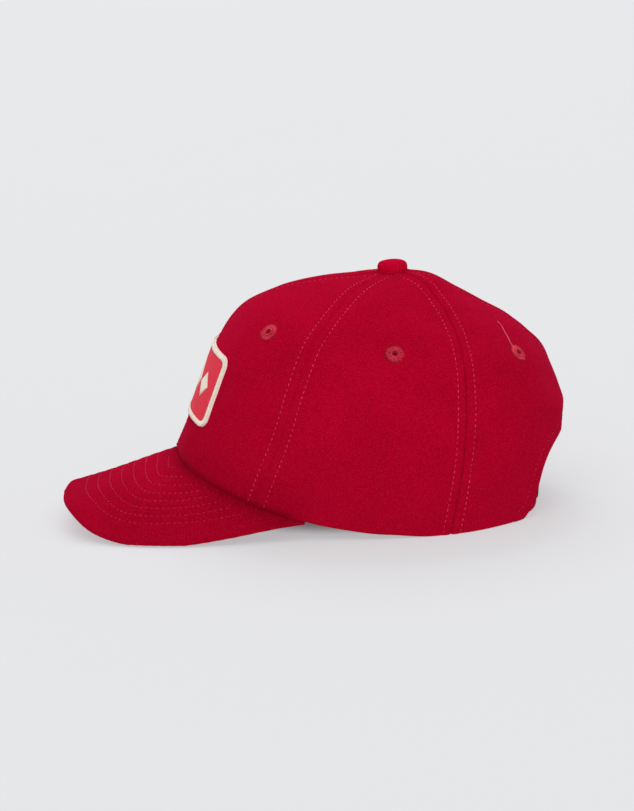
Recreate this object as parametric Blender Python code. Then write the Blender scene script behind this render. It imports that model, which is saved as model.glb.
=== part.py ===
"""Six-panel cloth cap with a curved peak, a front patch and a strap across its back opening.

Metres, +Z up. The peak points along -Y, the wearer's left is +X, and the cap stands on z = 0
with its box centred on the origin. Shapes are worked out around the button's axis and the
whole cap is then moved over the origin.
"""
import math
from collections import namedtuple

import bmesh
import bpy
import numpy as np

MM = 0.001

# Crown, measured from the button's axis to the outside of the cloth
FRONT_REACH = 124 * MM
BACK_REACH = 78 * MM
HALF_WIDTH = 83 * MM
WIDEST_AHEAD = 9 * MM
CROWN_HEIGHT = 131 * MM
FRONT_RISE = 37 * MM
CLOTH = 2.0 * MM
SEAM_DIP = 0.8 * MM
SEAM_DIP_WIDTH = 7 * MM
GAP = 0.3 * MM

# Opening at the back
ARCH_HALF_WIDTH = 48 * MM
ARCH_HEIGHT = 41 * MM
ARCH_SQUARENESS = 3.6
ARCH_FLARE = 6 * MM
ARCH_FLARE_HEIGHT = 12 * MM
ARCH_GUIDE_REACH = (0.3, 1.6)

# Peak
PEAK_REACH = 62.5 * MM
PEAK_SWELL = 3.0 * MM
PEAK_TIP_RISE = 14.5 * MM
PEAK_THICK = 3.2 * MM
PEAK_END_THICK = 1.0 * MM
PEAK_END_WIDTH = 1.2 * MM
PEAK_END_ANGLE = 69.5
PEAK_SQUARENESS = 2.7

# Button
BUTTON_RADIUS = 8.2 * MM
BUTTON_HEIGHT = 5.2 * MM
BUTTON_SHANK_RADIUS = 2.6 * MM
BUTTON_UNDER_SHARE = 0.92
BUTTON_EDGE_SHARE = 0.25
BUTTON_DOME = 0.8

# Eyelets
EYELET_RADIUS = 5.3 * MM
EYELET_HOLE_RADIUS = 1.8 * MM
EYELET_BARREL = 0.9 * MM
EYELET_THICK = 0.7 * MM

# Patch
PATCH_HALF_WIDTH = 40.2 * MM
PATCH_HALF_HEIGHT = 20.4 * MM
PATCH_CORNER = 6.5 * MM
PATCH_THICK = 0.9 * MM
PATCH_BORDER_WIDTH = 3.0 * MM
PATCH_BORDER_THICK = 1.8 * MM
PATCH_CENTRE = (0.0, 0.252)
PATCH_FIELD_RINGS = (1.0, 0.8, 0.6, 0.4, 0.2)

# Strap
STRAP_HALF_LENGTH = 62 * MM
STRAP_WIDTH = 19 * MM
STRAP_THICK = 1.8 * MM
STRAP_FOOT = 1.0 * MM
STRAP_LEAN = 2.5 * MM
STRAP_LEAN_FADE = (12 * MM, 46 * MM)
SLIDE_HALF_WIDTH = 6 * MM
SLIDE_BAR = 0.8 * MM

# Mesh density
PANEL_ROWS = 18
PEAK_COLUMNS = 32
ROUND_SIDES = 16
BUTTON_SIDES = 20
ARCH_STEPS = 24
STRAP_STEPS = 24
CORNER_STEPS = 4
PATCH_LONG_STEPS = 10
PATCH_SHORT_STEPS = 5

# Numerical steps
SLOPE_STEP = 0.002
DRAPE_ROUNDS = 12
DRAPE_STEP_LIMIT = 0.2
WELD = 0.01 * MM

# One row for each level of the crown, from the rim (0) to the button (1). The reaches are
# shares of the rim's reaches, the climbs are shares of the way from the rim to the top,
# squareness is the exponent of the oval, and the seams are angles from the front.
Section = namedtuple(
    "Section",
    "level front back side front_climb back_climb side_climb squareness front_seam back_seam",
)
SECTIONS = [
    Section(0.000, 1.000, 1.000, 1.000, 0.000, 0.000, 0.000, 2.30, 54.5, 108.0),
    Section(0.125, 0.930, 1.070, 1.035, 0.212, 0.165, 0.170, 2.30, 56.6, 110.2),
    Section(0.250, 0.860, 1.130, 1.050, 0.428, 0.335, 0.340, 2.25, 58.6, 112.2),
    Section(0.375, 0.785, 1.120, 1.025, 0.645, 0.500, 0.510, 2.20, 59.8, 114.2),
    Section(0.500, 0.668, 1.015, 0.940, 0.826, 0.648, 0.665, 2.15, 59.6, 117.3),
    Section(0.625, 0.505, 0.820, 0.775, 0.925, 0.760, 0.790, 2.10, 58.0, 121.8),
    Section(0.750, 0.335, 0.585, 0.550, 0.962, 0.855, 0.887, 2.05, 55.0, 126.5),
    Section(0.875, 0.165, 0.300, 0.285, 0.982, 0.955, 0.962, 2.00, 52.0, 132.0),
    Section(1.000, 0.000, 0.000, 0.000, 1.000, 1.000, 1.000, 2.00, 51.0, 135.0),
]

# How far past the side the rise of the front rim reaches, and how quickly it grows
RISE_SPREAD = 0.20
RISE_POWER = 1.6

# One row for each place along the peak's outer edge, from its tip (0) to its end (1): the
# height of its underside as a share of the tip's height, and as a share of the rim's height
# at the peak's end.
PeakEdge = namedtuple("PeakEdge", "place tip_share end_share")
PEAK_EDGE = [
    PeakEdge(0.00, 1.00, 0.00),
    PeakEdge(0.20, 0.80, 0.00),
    PeakEdge(0.40, 0.25, 0.00),
    PeakEdge(0.55, 0.00, 0.00),
    PeakEdge(0.75, 0.00, 0.00),
    PeakEdge(0.88, 0.00, 0.36),
    PeakEdge(1.00, 0.00, 0.88),
]

# Outline of the peak's cross-section: how far out from the rim each corner lies, as a share
# of the way to the outer edge, and how far up as a share of the thickness
PeakCorner = namedtuple("PeakCorner", "out up")
PEAK_SECTION = [
    PeakCorner(0.00, 0.0),
    PeakCorner(0.33, 0.0),
    PeakCorner(0.67, 0.0),
    PeakCorner(0.96, 0.0),
    PeakCorner(0.99, 0.2),
    PeakCorner(1.00, 0.5),
    PeakCorner(0.99, 0.8),
    PeakCorner(0.96, 1.0),
    PeakCorner(0.67, 1.0),
    PeakCorner(0.33, 1.0),
    PeakCorner(0.00, 1.0),
]

# Cross-section of the patch's border, as shares of its width (from outside) and thickness
BorderCorner = namedtuple("BorderCorner", "inward up")
BORDER_SECTION = [
    BorderCorner(0.00, 0.0),
    BorderCorner(0.00, 0.6),
    BorderCorner(0.25, 1.0),
    BorderCorner(0.75, 1.0),
    BorderCorner(1.00, 0.6),
    BorderCorner(1.00, 0.0),
]

# Eyelets of the left half: the angle from the front and the level of each
Eyelet = namedtuple("Eyelet", "panel angle level")
EYELETS = [
    Eyelet("front", 36.2, 0.505),
    Eyelet("side", 93.2, 0.570),
    Eyelet("back", 147.8, 0.527),
]

# Columns across a panel, closer together beside its seams where the cloth dips
PANEL_SHARES = (0.0, 0.035, 0.11, 0.24, 0.41, 0.59, 0.76, 0.89, 0.965, 1.0)


def clear_scene():
    for obj in list(bpy.data.objects):
        bpy.data.objects.remove(obj, do_unlink=True)


def column(rows, name):
    return np.array([getattr(row, name) for row in rows])


def smooth_between(places, values, at):
    """Reads a table at any place between its rows, on a curve that passes through them."""
    slopes = np.gradient(values, places)
    row = np.clip(np.searchsorted(places, at, side="right") - 1, 0, len(places) - 2)
    step = places[row + 1] - places[row]
    share = (at - places[row]) / step
    from_start = (2 * share**3 - 3 * share**2 + 1) * values[row]
    from_end = (3 * share**2 - 2 * share**3) * values[row + 1]
    leave = (share**3 - 2 * share**2 + share) * step * slopes[row]
    arrive = (share**3 - share**2) * step * slopes[row + 1]
    return from_start + from_end + leave + arrive


def section_value(name, level):
    return smooth_between(column(SECTIONS, "level"), column(SECTIONS, name), level)


def oval_power(value, exponent):
    return np.sign(value) * np.abs(value) ** exponent


def crown_point(angle, level):
    """Outside of the crown at an angle from the front and a level from rim to button."""
    angle = np.asarray(angle, dtype=float)
    level = np.asarray(level, dtype=float)
    cosine = np.cos(angle)
    power = 2 / section_value("squareness", level)
    front = FRONT_REACH * section_value("front", level)
    back = BACK_REACH * section_value("back", level)
    side = section_value("side", level)
    widest = WIDEST_AHEAD * side
    across = HALF_WIDTH * side * oval_power(np.sin(angle), power)
    along = -widest - np.where(cosine > 0, front - widest, back + widest) * oval_power(cosine, power)
    front_height = FRONT_RISE + (CROWN_HEIGHT - FRONT_RISE) * section_value("front_climb", level)
    back_height = CROWN_HEIGHT * section_value("back_climb", level)
    side_height = CROWN_HEIGHT * section_value("side_climb", level)
    frontness = (np.maximum(0, cosine + RISE_SPREAD) / (1 + RISE_SPREAD)) ** RISE_POWER
    backness = np.maximum(0, -cosine) ** 2
    height = (
        side_height
        + (front_height - side_height) * frontness
        + (back_height - side_height) * backness
    )
    return np.stack([across, along, height], axis=-1)


def crown_slopes(angle, level):
    """How the crown's surface moves with the angle and with the level."""
    low = np.clip(level - SLOPE_STEP, 0, 1)
    high = np.clip(level + SLOPE_STEP, 0, 1)
    ahead = crown_point(angle + SLOPE_STEP, level)
    behind = crown_point(angle - SLOPE_STEP, level)
    by_angle = (ahead - behind) / (2 * SLOPE_STEP)
    rise = np.expand_dims(high - low, -1)
    by_level = (crown_point(angle, high) - crown_point(angle, low)) / rise
    return by_angle, by_level


def unit(vectors):
    return vectors / np.linalg.norm(vectors, axis=-1, keepdims=True)


def crown_outward(angle, level):
    by_angle, by_level = crown_slopes(angle, level)
    return unit(np.cross(by_angle, by_level))


def mirrored(points, side):
    """The same points on the wearer's left (side 1) or right (side -1)."""
    return points * np.array([side, 1, 1])


def mesh_object(name, points, faces, material, carrier):
    mesh = bpy.data.meshes.new(name)
    mesh.from_pydata([tuple(point) for point in points], [], faces)
    shell = bmesh.new()
    shell.from_mesh(mesh)
    bmesh.ops.remove_doubles(shell, verts=shell.verts, dist=WELD)
    bmesh.ops.recalc_face_normals(shell, faces=shell.faces)
    shell.to_mesh(mesh)
    shell.free()
    mesh.shade_smooth()
    mesh.set_sharp_from_angle(angle=math.radians(40))
    mesh.materials.append(material)
    obj = bpy.data.objects.new(name, mesh)
    bpy.context.collection.objects.link(obj)
    obj.parent = carrier
    return obj


def plain_material(name, color, roughness=0.9, metallic=0.0):
    material = bpy.data.materials.new(name)
    material.use_nodes = True
    shader = material.node_tree.nodes["Principled BSDF"]
    shader.inputs["Base Color"].default_value = (*color, 1.0)
    shader.inputs["Roughness"].default_value = roughness
    shader.inputs["Metallic"].default_value = metallic
    return material


def grid_faces(rows, columns, first=0):
    """Quads of a grid whose points are stored row after row."""
    faces = []
    for row in range(rows - 1):
        for place in range(columns - 1):
            corner = first + row * columns + place
            faces.append((corner, corner + 1, corner + columns + 1, corner + columns))
    return faces


def edge_loop(rows, columns):
    """Indices around a grid's outline, in order."""
    bottom = list(range(columns))
    right = [row * columns + columns - 1 for row in range(1, rows)]
    top = [(rows - 1) * columns + place for place in range(columns - 2, -1, -1)]
    left = [row * columns for row in range(rows - 2, 0, -1)]
    return bottom + right + top + left


def wall_between(outer, inner):
    """Points and faces of a closed wall between two grids of the same size."""
    rows, columns = outer.shape[:2]
    count = rows * columns
    points = np.concatenate([outer.reshape(-1, 3), inner.reshape(-1, 3)])
    faces = grid_faces(rows, columns)
    faces += [tuple(reversed(face)) for face in grid_faces(rows, columns, count)]
    outline = edge_loop(rows, columns)
    for here, there in zip(outline, outline[1:] + outline[:1]):
        faces.append((here, there, there + count, here + count))
    return points, faces


def faces_between(here, there, sides):
    """Quads between two closed rings of points that start at the given indices."""
    faces = []
    for place in range(sides):
        beside = (place + 1) % sides
        faces.append((here + place, here + beside, there + beside, there + place))
    return faces


def band_around(sections):
    """Points and faces of a tube whose closed sections are joined into a ring."""
    count, sides = sections.shape[:2]
    faces = []
    for ring in range(count):
        after = (ring + 1) % count
        faces += faces_between(ring * sides, after * sides, sides)
    return sections.reshape(-1, 3), faces


def band_along(sections):
    """Points and faces of a tube whose closed sections run from one end to the other."""
    count, sides = sections.shape[:2]
    faces = []
    for ring in range(count - 1):
        faces += faces_between(ring * sides, (ring + 1) * sides, sides)
    faces.append(tuple(range(sides)))
    faces.append(tuple(range((count - 1) * sides, count * sides)))
    return sections.reshape(-1, 3), faces


def seam_angle(seam, level):
    """Angle of a seam of the left half at a level."""
    if seam == "front middle":
        return np.zeros_like(level)
    if seam == "back middle":
        return np.full_like(level, math.pi)
    return np.radians(section_value(seam, level))


def top_level():
    """Level at which the panels stop, so that the button's shank passes between them."""
    hole = BUTTON_SHANK_RADIUS + GAP
    levels = np.linspace(0.9, 1.0, 401)
    widest = np.minimum(
        HALF_WIDTH * section_value("side", levels),
        FRONT_REACH * section_value("front", levels),
    )
    return float(levels[np.argmin(np.abs(widest - hole))])


def panel_grid(first_seam, second_seam):
    """Outside and inside of a panel of the left half, as grids of points."""
    level, share = np.meshgrid(
        np.linspace(0, top_level(), PANEL_ROWS + 1), np.array(PANEL_SHARES), indexing="ij"
    )
    start = seam_angle(first_seam, level)
    end = seam_angle(second_seam, level)
    middle = (start + end) / 2
    by_angle = np.linalg.norm(crown_slopes(middle, level)[0], axis=-1)
    inset = GAP / 2 / by_angle
    angle = start + inset + (end - start - 2 * inset) * share
    width = (end - start) * by_angle
    from_seam = np.minimum(share, 1 - share) * width
    closeness = np.clip(1 - from_seam / SEAM_DIP_WIDTH, 0, 1)
    fade = np.clip(np.minimum(level, 1 - level) / section_spacing(), 0, 1)
    dip = SEAM_DIP * closeness**2 * (3 - 2 * closeness) * fade
    outward = crown_outward(angle, level)
    surface = crown_point(angle, level)
    outer = surface - outward * dip[..., None]
    inner = outer - outward * CLOTH
    inner[0, :, 2] = outer[0, :, 2]
    return outer, inner


def section_spacing():
    return SECTIONS[1].level - SECTIONS[0].level


def arch_outline():
    """Half-round outline of the back opening, flared at its foot, as (across, height) pairs."""
    outline = []
    for angle in np.linspace(0, math.pi, ARCH_STEPS + 1):
        across = ARCH_HALF_WIDTH * float(oval_power(math.cos(angle), 2 / ARCH_SQUARENESS))
        height = ARCH_HEIGHT * float(oval_power(math.sin(angle), 2 / ARCH_SQUARENESS))
        flare = ARCH_FLARE * max(0, 1 - height / ARCH_FLARE_HEIGHT) ** 2
        outline.append((across + math.copysign(flare, across), height))
    return outline


def arch_cutter(carrier):
    """Guide solid that cuts the opening out of both back panels."""
    below = -ARCH_HEIGHT / 4
    outline = arch_outline()
    outline = [(outline[0][0], below)] + outline + [(outline[-1][0], below)]
    depths = [BACK_REACH * share for share in ARCH_GUIDE_REACH]
    sections = np.array([[(across, depth, height) for across, height in outline] for depth in depths])
    points, faces = band_along(sections)
    return guide("arch_guide", points, faces, carrier)


def guide(name, points, faces, carrier):
    cutter = mesh_object(name, points, faces, plain_material(name, (0.5, 0.5, 0.5)), carrier)
    cutter.hide_render = True
    cutter.display_type = "WIRE"
    return cutter


def cut(obj, cutter):
    modifier = obj.modifiers.new(cutter.name, "BOOLEAN")
    modifier.operation = "DIFFERENCE"
    modifier.object = cutter
    modifier.solver = "EXACT"


def local_frame(angle, level):
    """Origin, sideways, upward and outward directions on the crown."""
    origin = crown_point(angle, level)
    by_angle, by_level = crown_slopes(angle, level)
    outward = unit(np.cross(by_angle, by_level))
    sideways = unit(by_angle)
    upward = np.cross(outward, sideways)
    return origin, sideways, upward, outward


def drape(angle, level, offsets, lift):
    """Points at (across, up) offsets from a place on the crown, lifted off its surface."""
    origin, sideways, upward, _ = local_frame(angle, level)
    offsets = np.asarray(offsets, dtype=float)
    axes = np.stack([sideways, upward], axis=-1)
    angles = np.full(len(offsets), float(angle))
    levels = np.full(len(offsets), float(level))
    for _ in range(DRAPE_ROUNDS):
        miss = offsets - (crown_point(angles, levels) - origin) @ axes
        by_angle, by_level = crown_slopes(angles, levels)
        slopes = np.stack([by_angle @ axes, by_level @ axes], axis=-1)
        step = np.linalg.solve(slopes, miss[..., None])[..., 0]
        angles = angles + np.clip(step[:, 0], -DRAPE_STEP_LIMIT, DRAPE_STEP_LIMIT)
        levels = np.clip(levels + step[:, 1], 0, 1)
    return crown_point(angles, levels) + crown_outward(angles, levels) * lift


def make_panel(name, seams, side, material, carrier):
    outer, inner = panel_grid(*seams)
    points, faces = wall_between(mirrored(outer, side), mirrored(inner, side))
    return mesh_object(name, points, faces, material, carrier)


def eyelet_cutter(name, eyelet, side, carrier):
    """Guide cylinder through the cloth at an eyelet."""
    angle = math.radians(eyelet.angle)
    origin, sideways, upward, outward = local_frame(angle, eyelet.level)
    radius = EYELET_HOLE_RADIUS + EYELET_BARREL + GAP
    rings = []
    for depth in (-3 * CLOTH, 2 * CLOTH):
        ring = []
        for turn in np.arange(ROUND_SIDES) * 2 * math.pi / ROUND_SIDES:
            spoke = sideways * math.cos(turn) + upward * math.sin(turn)
            ring.append(origin + outward * depth + spoke * radius)
        rings.append(ring)
    points, faces = band_along(mirrored(np.array(rings), side))
    return guide(name, points, faces, carrier)


def make_eyelet(name, eyelet, side, material, carrier):
    """Sewn ring: a collar on the cloth and a barrel through it, drilled right through."""
    angle = math.radians(eyelet.angle)
    hole = EYELET_HOLE_RADIUS
    barrel = hole + EYELET_BARREL
    top = GAP + EYELET_THICK
    profile = [
        (hole, -CLOTH - GAP),
        (barrel, -CLOTH - GAP),
        (barrel, GAP),
        (EYELET_RADIUS, GAP),
        (EYELET_RADIUS - 0.3 * EYELET_THICK, GAP + 0.7 * EYELET_THICK),
        ((EYELET_RADIUS + barrel) / 2, top),
        (hole + 0.4 * EYELET_THICK, top - 0.1 * EYELET_THICK),
        (hole, GAP),
    ]
    turns = np.arange(ROUND_SIDES) * 2 * math.pi / ROUND_SIDES
    spokes = np.stack([np.cos(turns), np.sin(turns)], axis=1)
    rings = [drape(angle, eyelet.level, spokes * radius, lift) for radius, lift in profile]
    points, faces = band_around(mirrored(np.stack(rings, axis=1), side))
    return mesh_object(name, points, faces, material, carrier)


def rim_point(angle):
    return crown_point(angle, np.zeros_like(angle))


def peak_edges(place):
    """Inner and outer edge of the peak's underside at places from -1 to 1 across it."""
    end_angle = math.radians(PEAK_END_ANGLE)
    share = np.abs(place)
    thick = peak_thickness(place)
    inner = rim_point(place * end_angle)
    inward = crown_outward(place * end_angle, np.zeros_like(place)) * CLOTH
    inner = inner - inward * np.array([1, 1, 0])
    inner[..., 2] -= GAP + thick
    end = rim_point(np.array(end_angle))
    turn = share * math.pi / 2
    power = 2 / PEAK_SQUARENESS
    swell = PEAK_SWELL * np.sin(math.pi * share) ** 2
    half_width = end[0] + PEAK_END_WIDTH
    tip = FRONT_REACH + PEAK_REACH
    across = np.sign(place) * (half_width * np.sin(turn) ** power + swell)
    along = end[1] - (tip + end[1]) * np.maximum(np.cos(turn), 0) ** power
    places = column(PEAK_EDGE, "place")
    tip_share = smooth_between(places, column(PEAK_EDGE, "tip_share"), share)
    end_share = smooth_between(places, column(PEAK_EDGE, "end_share"), share)
    height = np.maximum(PEAK_TIP_RISE * tip_share + end[2] * end_share, 0)
    return inner, np.stack([across, along, height], axis=-1)


def peak_thickness(place):
    return PEAK_THICK + (PEAK_END_THICK - PEAK_THICK) * np.abs(place) ** 4


def make_peak(material, carrier):
    """One stiff curved sheet, with a rounded outer edge, that the front panels stand on."""
    place = np.linspace(-1, 1, PEAK_COLUMNS + 1)
    inner, outer = peak_edges(place)
    thick = peak_thickness(place)[:, None]
    rows = []
    for corner in PEAK_SECTION:
        row = inner + (outer - inner) * corner.out
        row = row + np.array([0, 0, 1]) * thick * corner.up
        rows.append(row)
    points, faces = band_along(np.stack(rows, axis=1))
    return mesh_object("peak", points, faces, material, carrier)


def crown_height(angles, radius):
    """Height of the crown's outside at a distance from the button's axis."""
    levels = np.linspace(0.8, 1.0, 81)
    heights = []
    for angle in angles:
        line = crown_point(np.full_like(levels, angle), levels)
        away = np.hypot(line[:, 0], line[:, 1])
        heights.append(np.interp(radius, away[::-1], line[::-1, 2]))
    return np.array(heights)


def make_button(material, carrier):
    """Covered button: a dome that sits on the panels, with a shank between them."""
    turns = np.arange(BUTTON_SIDES) * 2 * math.pi / BUTTON_SIDES
    top = CROWN_HEIGHT + BUTTON_HEIGHT
    under_radius = BUTTON_UNDER_SHARE * BUTTON_RADIUS
    seat = crown_height(turns, under_radius) + GAP
    shank_top = crown_height(turns, BUTTON_SHANK_RADIUS) + GAP
    shank_foot = np.full(BUTTON_SIDES, CROWN_HEIGHT - CLOTH - GAP)
    rings = [(BUTTON_SHANK_RADIUS, shank_foot), (BUTTON_SHANK_RADIUS, shank_top), (under_radius, seat)]
    edge = seat + BUTTON_EDGE_SHARE * (top - seat)
    for turn in np.radians((0, 22, 42, 60, 76)):
        radius = BUTTON_RADIUS * math.cos(turn) ** BUTTON_DOME
        rings.append((radius, edge + (top - edge) * math.sin(turn)))
    sections = []
    for radius, heights in rings:
        sections.append(np.stack([radius * np.sin(turns), -radius * np.cos(turns), heights], axis=1))
    points, faces = band_along(np.array(sections))
    return mesh_object("button", points, faces, material, carrier)


def patch_outline(margin):
    """Rounded rectangle of the patch, drawn in by a margin, as (across, up) pairs."""
    half_width = PATCH_HALF_WIDTH - margin
    half_height = PATCH_HALF_HEIGHT - margin
    corner = PATCH_CORNER - margin
    flat_width = half_width - corner
    flat_height = half_height - corner
    centres = [(1, 1), (-1, 1), (-1, -1), (1, -1)]
    outline = []
    for quarter, (right, up) in enumerate(centres):
        centre = np.array([right * flat_width, up * flat_height])
        for angle in (quarter + np.linspace(0, 1, CORNER_STEPS + 1)) * math.pi / 2:
            outline.append(centre + corner * np.array([math.cos(angle), math.sin(angle)]))
        onward = np.array([-math.sin(angle), math.cos(angle)])
        run, steps = ((flat_width, PATCH_LONG_STEPS), (flat_height, PATCH_SHORT_STEPS))[quarter % 2]
        start = outline[-1]
        for step in range(1, steps):
            outline.append(start + onward * 2 * run * step / steps)
    return np.array(outline)


def make_patch(material, carrier):
    """Field of the patch: a thin plate that follows the two front panels."""
    outline = patch_outline(PATCH_BORDER_WIDTH + GAP)
    count = len(outline)
    layers = []
    faces = []
    for lift in (GAP, GAP + PATCH_THICK):
        first = sum(len(layer) for layer in layers)
        for share in PATCH_FIELD_RINGS:
            layers.append(drape(*PATCH_CENTRE, outline * share, lift))
        layers.append(drape(*PATCH_CENTRE, [(0, 0)], lift))
        last = first + (len(PATCH_FIELD_RINGS) - 1) * count
        centre = last + count
        for start in range(first, last, count):
            faces += faces_between(start, start + count, count)
        for place in range(count):
            faces.append((last + place, last + (place + 1) % count, centre))
    points = np.concatenate(layers)
    faces += faces_between(0, len(points) // 2, count)
    return mesh_object("patch", points, faces, material, carrier)


def make_patch_border(material, carrier):
    """Raised sewn edge around the patch."""
    rings = []
    for corner in BORDER_SECTION:
        outline = patch_outline(corner.inward * PATCH_BORDER_WIDTH)
        lift = GAP + corner.up * PATCH_BORDER_THICK
        rings.append(drape(*PATCH_CENTRE, outline, lift))
    points, faces = band_around(np.stack(rings, axis=1))
    return mesh_object("patch_border", points, faces, material, carrier)


def strap_path():
    """Middle line of the strap, just inside the rim, as (point, outward) pairs."""
    angles = np.linspace(math.pi / 2, 3 * math.pi / 2, 721)
    rim = rim_point(angles)
    outward = unit(crown_outward(angles, np.zeros_like(angles)) * np.array([1, 1, 0]))
    line = rim - outward * (CLOTH + GAP + STRAP_THICK / 2)
    keep = np.abs(line[:, 0]) <= STRAP_HALF_LENGTH
    line = line[keep]
    outward = outward[keep]
    chosen = np.linspace(0, len(line) - 1, STRAP_STEPS + 1).astype(int)
    return line[chosen], outward[chosen]


def make_strap(material, carrier):
    """Flat strap whose free middle leans inward towards its lower edge."""
    line, outward = strap_path()
    half = outward * STRAP_THICK / 2
    free = np.interp(np.abs(line[:, :1]), STRAP_LEAN_FADE, (1, 0))
    low = np.array([0, 0, STRAP_FOOT]) - outward * STRAP_LEAN * free**2 * (3 - 2 * free)
    high = np.array([0, 0, STRAP_FOOT + STRAP_WIDTH])
    flat = line * np.array([1, 1, 0])
    corners = [flat + half + low, flat + half + high, flat - half + high, flat - half + low]
    points, faces = band_along(np.stack(corners, axis=1))
    return mesh_object("back_strap", points, faces, material, carrier)


def make_slide(material, carrier):
    """Plain slide that closes the strap: a frame all round it."""
    line, _ = strap_path()
    depth = line[len(line) // 2, 1]
    middle = STRAP_FOOT + STRAP_WIDTH / 2
    slot_depth = STRAP_THICK / 2 + 2 * GAP
    slot_height = STRAP_WIDTH / 2 + GAP
    frame_depth = slot_depth + SLIDE_BAR
    frame_top = slot_height + SLIDE_BAR
    frame_foot = slot_height + min(SLIDE_BAR, STRAP_FOOT - GAP)
    sections = []
    for out, up in ((1, -1), (1, 1), (-1, 1), (-1, -1)):
        outside = (out * frame_depth, frame_top if up > 0 else -frame_foot)
        inside = (out * slot_depth, up * slot_height)
        section = []
        for across, (away, height) in (
            (-SLIDE_HALF_WIDTH, outside),
            (SLIDE_HALF_WIDTH, outside),
            (SLIDE_HALF_WIDTH, inside),
            (-SLIDE_HALF_WIDTH, inside),
        ):
            lean = STRAP_LEAN * (0.5 - height / STRAP_WIDTH)
            section.append((across, depth + away - lean, middle + height))
        sections.append(section)
    points, faces = band_around(np.array(sections))
    return mesh_object("strap_slide", points, faces, material, carrier)


def stand_on_origin(carrier, objects):
    """Moves the cap so that its box stands on the origin."""
    bpy.context.view_layer.update()
    graph = bpy.context.evaluated_depsgraph_get()
    along = []
    for obj in objects:
        along += [vertex.co.y for vertex in obj.evaluated_get(graph).data.vertices]
    carrier.location = (0, -(min(along) + max(along)) / 2, 0)


def build():
    clear_scene()
    carrier = bpy.data.objects.new("cap", None)
    bpy.context.collection.objects.link(carrier)
    red = plain_material("red wool", (0.386, 0.001, 0.018))
    thread = plain_material("eyelet thread", (0.60, 0.07, 0.11), roughness=0.7)
    coral = plain_material("coral twill", (0.68, 0.045, 0.06), roughness=0.8)
    cream = plain_material("cream thread", (0.88, 0.80, 0.68), roughness=0.65)
    metal = plain_material("dark metal", (0.12, 0.11, 0.10), roughness=0.4, metallic=1.0)
    panels = {
        "front": ("front middle", "front_seam"),
        "side": ("front_seam", "back_seam"),
        "back": ("back_seam", "back middle"),
    }
    arch = arch_cutter(carrier)
    objects = []
    for hand, side in (("left", 1), ("right", -1)):
        for eyelet in EYELETS:
            name = f"{eyelet.panel}_{hand}_panel"
            panel = make_panel(name, panels[eyelet.panel], side, red, carrier)
            hole = eyelet_cutter(f"{eyelet.panel}_{hand}_hole", eyelet, side, carrier)
            cut(panel, hole)
            if eyelet.panel == "back":
                cut(panel, arch)
            ring = make_eyelet(f"{eyelet.panel}_{hand}_eyelet", eyelet, side, thread, carrier)
            objects += [panel, ring]
    objects.append(make_peak(red, carrier))
    objects.append(make_button(red, carrier))
    objects.append(make_patch(coral, carrier))
    objects.append(make_patch_border(cream, carrier))
    objects.append(make_strap(red, carrier))
    objects.append(make_slide(metal, carrier))
    stand_on_origin(carrier, objects)


build()
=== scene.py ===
"""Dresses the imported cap: wool panels with stitched seams, a stitched peak, a covered button,
sewn eyelets, a bordered patch and the strap across the back opening."""
import math
from collections import namedtuple

import bmesh
import bpy
import numpy as np
from mathutils import Matrix, Vector


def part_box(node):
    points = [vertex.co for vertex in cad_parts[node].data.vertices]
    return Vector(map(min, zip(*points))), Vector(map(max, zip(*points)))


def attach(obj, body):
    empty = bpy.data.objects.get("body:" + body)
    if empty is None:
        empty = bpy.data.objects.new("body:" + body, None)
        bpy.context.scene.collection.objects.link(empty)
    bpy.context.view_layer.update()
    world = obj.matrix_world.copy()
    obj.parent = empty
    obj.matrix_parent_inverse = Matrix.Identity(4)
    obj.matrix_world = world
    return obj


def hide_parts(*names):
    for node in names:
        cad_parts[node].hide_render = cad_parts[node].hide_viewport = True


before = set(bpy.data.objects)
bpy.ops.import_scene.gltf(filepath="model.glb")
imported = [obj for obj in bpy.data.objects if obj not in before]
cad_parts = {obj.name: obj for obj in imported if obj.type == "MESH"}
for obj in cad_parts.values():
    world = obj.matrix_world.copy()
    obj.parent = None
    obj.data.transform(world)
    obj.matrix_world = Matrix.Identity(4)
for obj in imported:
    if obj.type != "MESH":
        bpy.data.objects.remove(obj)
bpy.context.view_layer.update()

MM = 0.001

# Where the crown's upright axis runs, read from the button
BUTTON_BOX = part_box("button")
AXIS_Y = (BUTTON_BOX[0][1] + BUTTON_BOX[1][1]) / 2

# Crown
FRONT_REACH = 124 * MM
BACK_REACH = 78 * MM
HALF_WIDTH = 83 * MM
WIDEST_AHEAD = 9 * MM
CROWN_HEIGHT = 131 * MM
FRONT_RISE = 37 * MM
CLOTH = 2.0 * MM
GAP = 0.3 * MM
SEAM_GAP = 0.05 * MM
SEAM_LAP = 0.12 * MM
HEM_ROUND = 0.9 * MM
RIM_PRESS = 0.45 * MM
RIM_TUCK = 1.0 * MM
RIM_ROLL = 4.5 * MM
RIM_STEP = 0.2 * MM
RIM_DROP_REACH = 4 * MM
RIM_STEEPEST = 1.5

# Rows of stitches on both sides of every seam, and the band of cloth that swells under them
STITCH_LINE = 4.8 * MM
STITCH_DIP = 0.22 * MM
STITCH_DIP_WIDTH = 0.8 * MM
STITCH_SHARE = 0.62
STITCH_SINK = 0.16 * MM
STITCH_LIFT = 0.06 * MM
STITCH_START_LEVEL = 0.012
SINK_START_LEVEL = 0.55
SINK_LEVELS = 0.3
BAND_START = 0.3 * MM
BAND_RISE = 1.4 * MM
BAND_PAST_STITCHES = 1.5 * MM
BAND_FALL = 2.6 * MM

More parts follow.
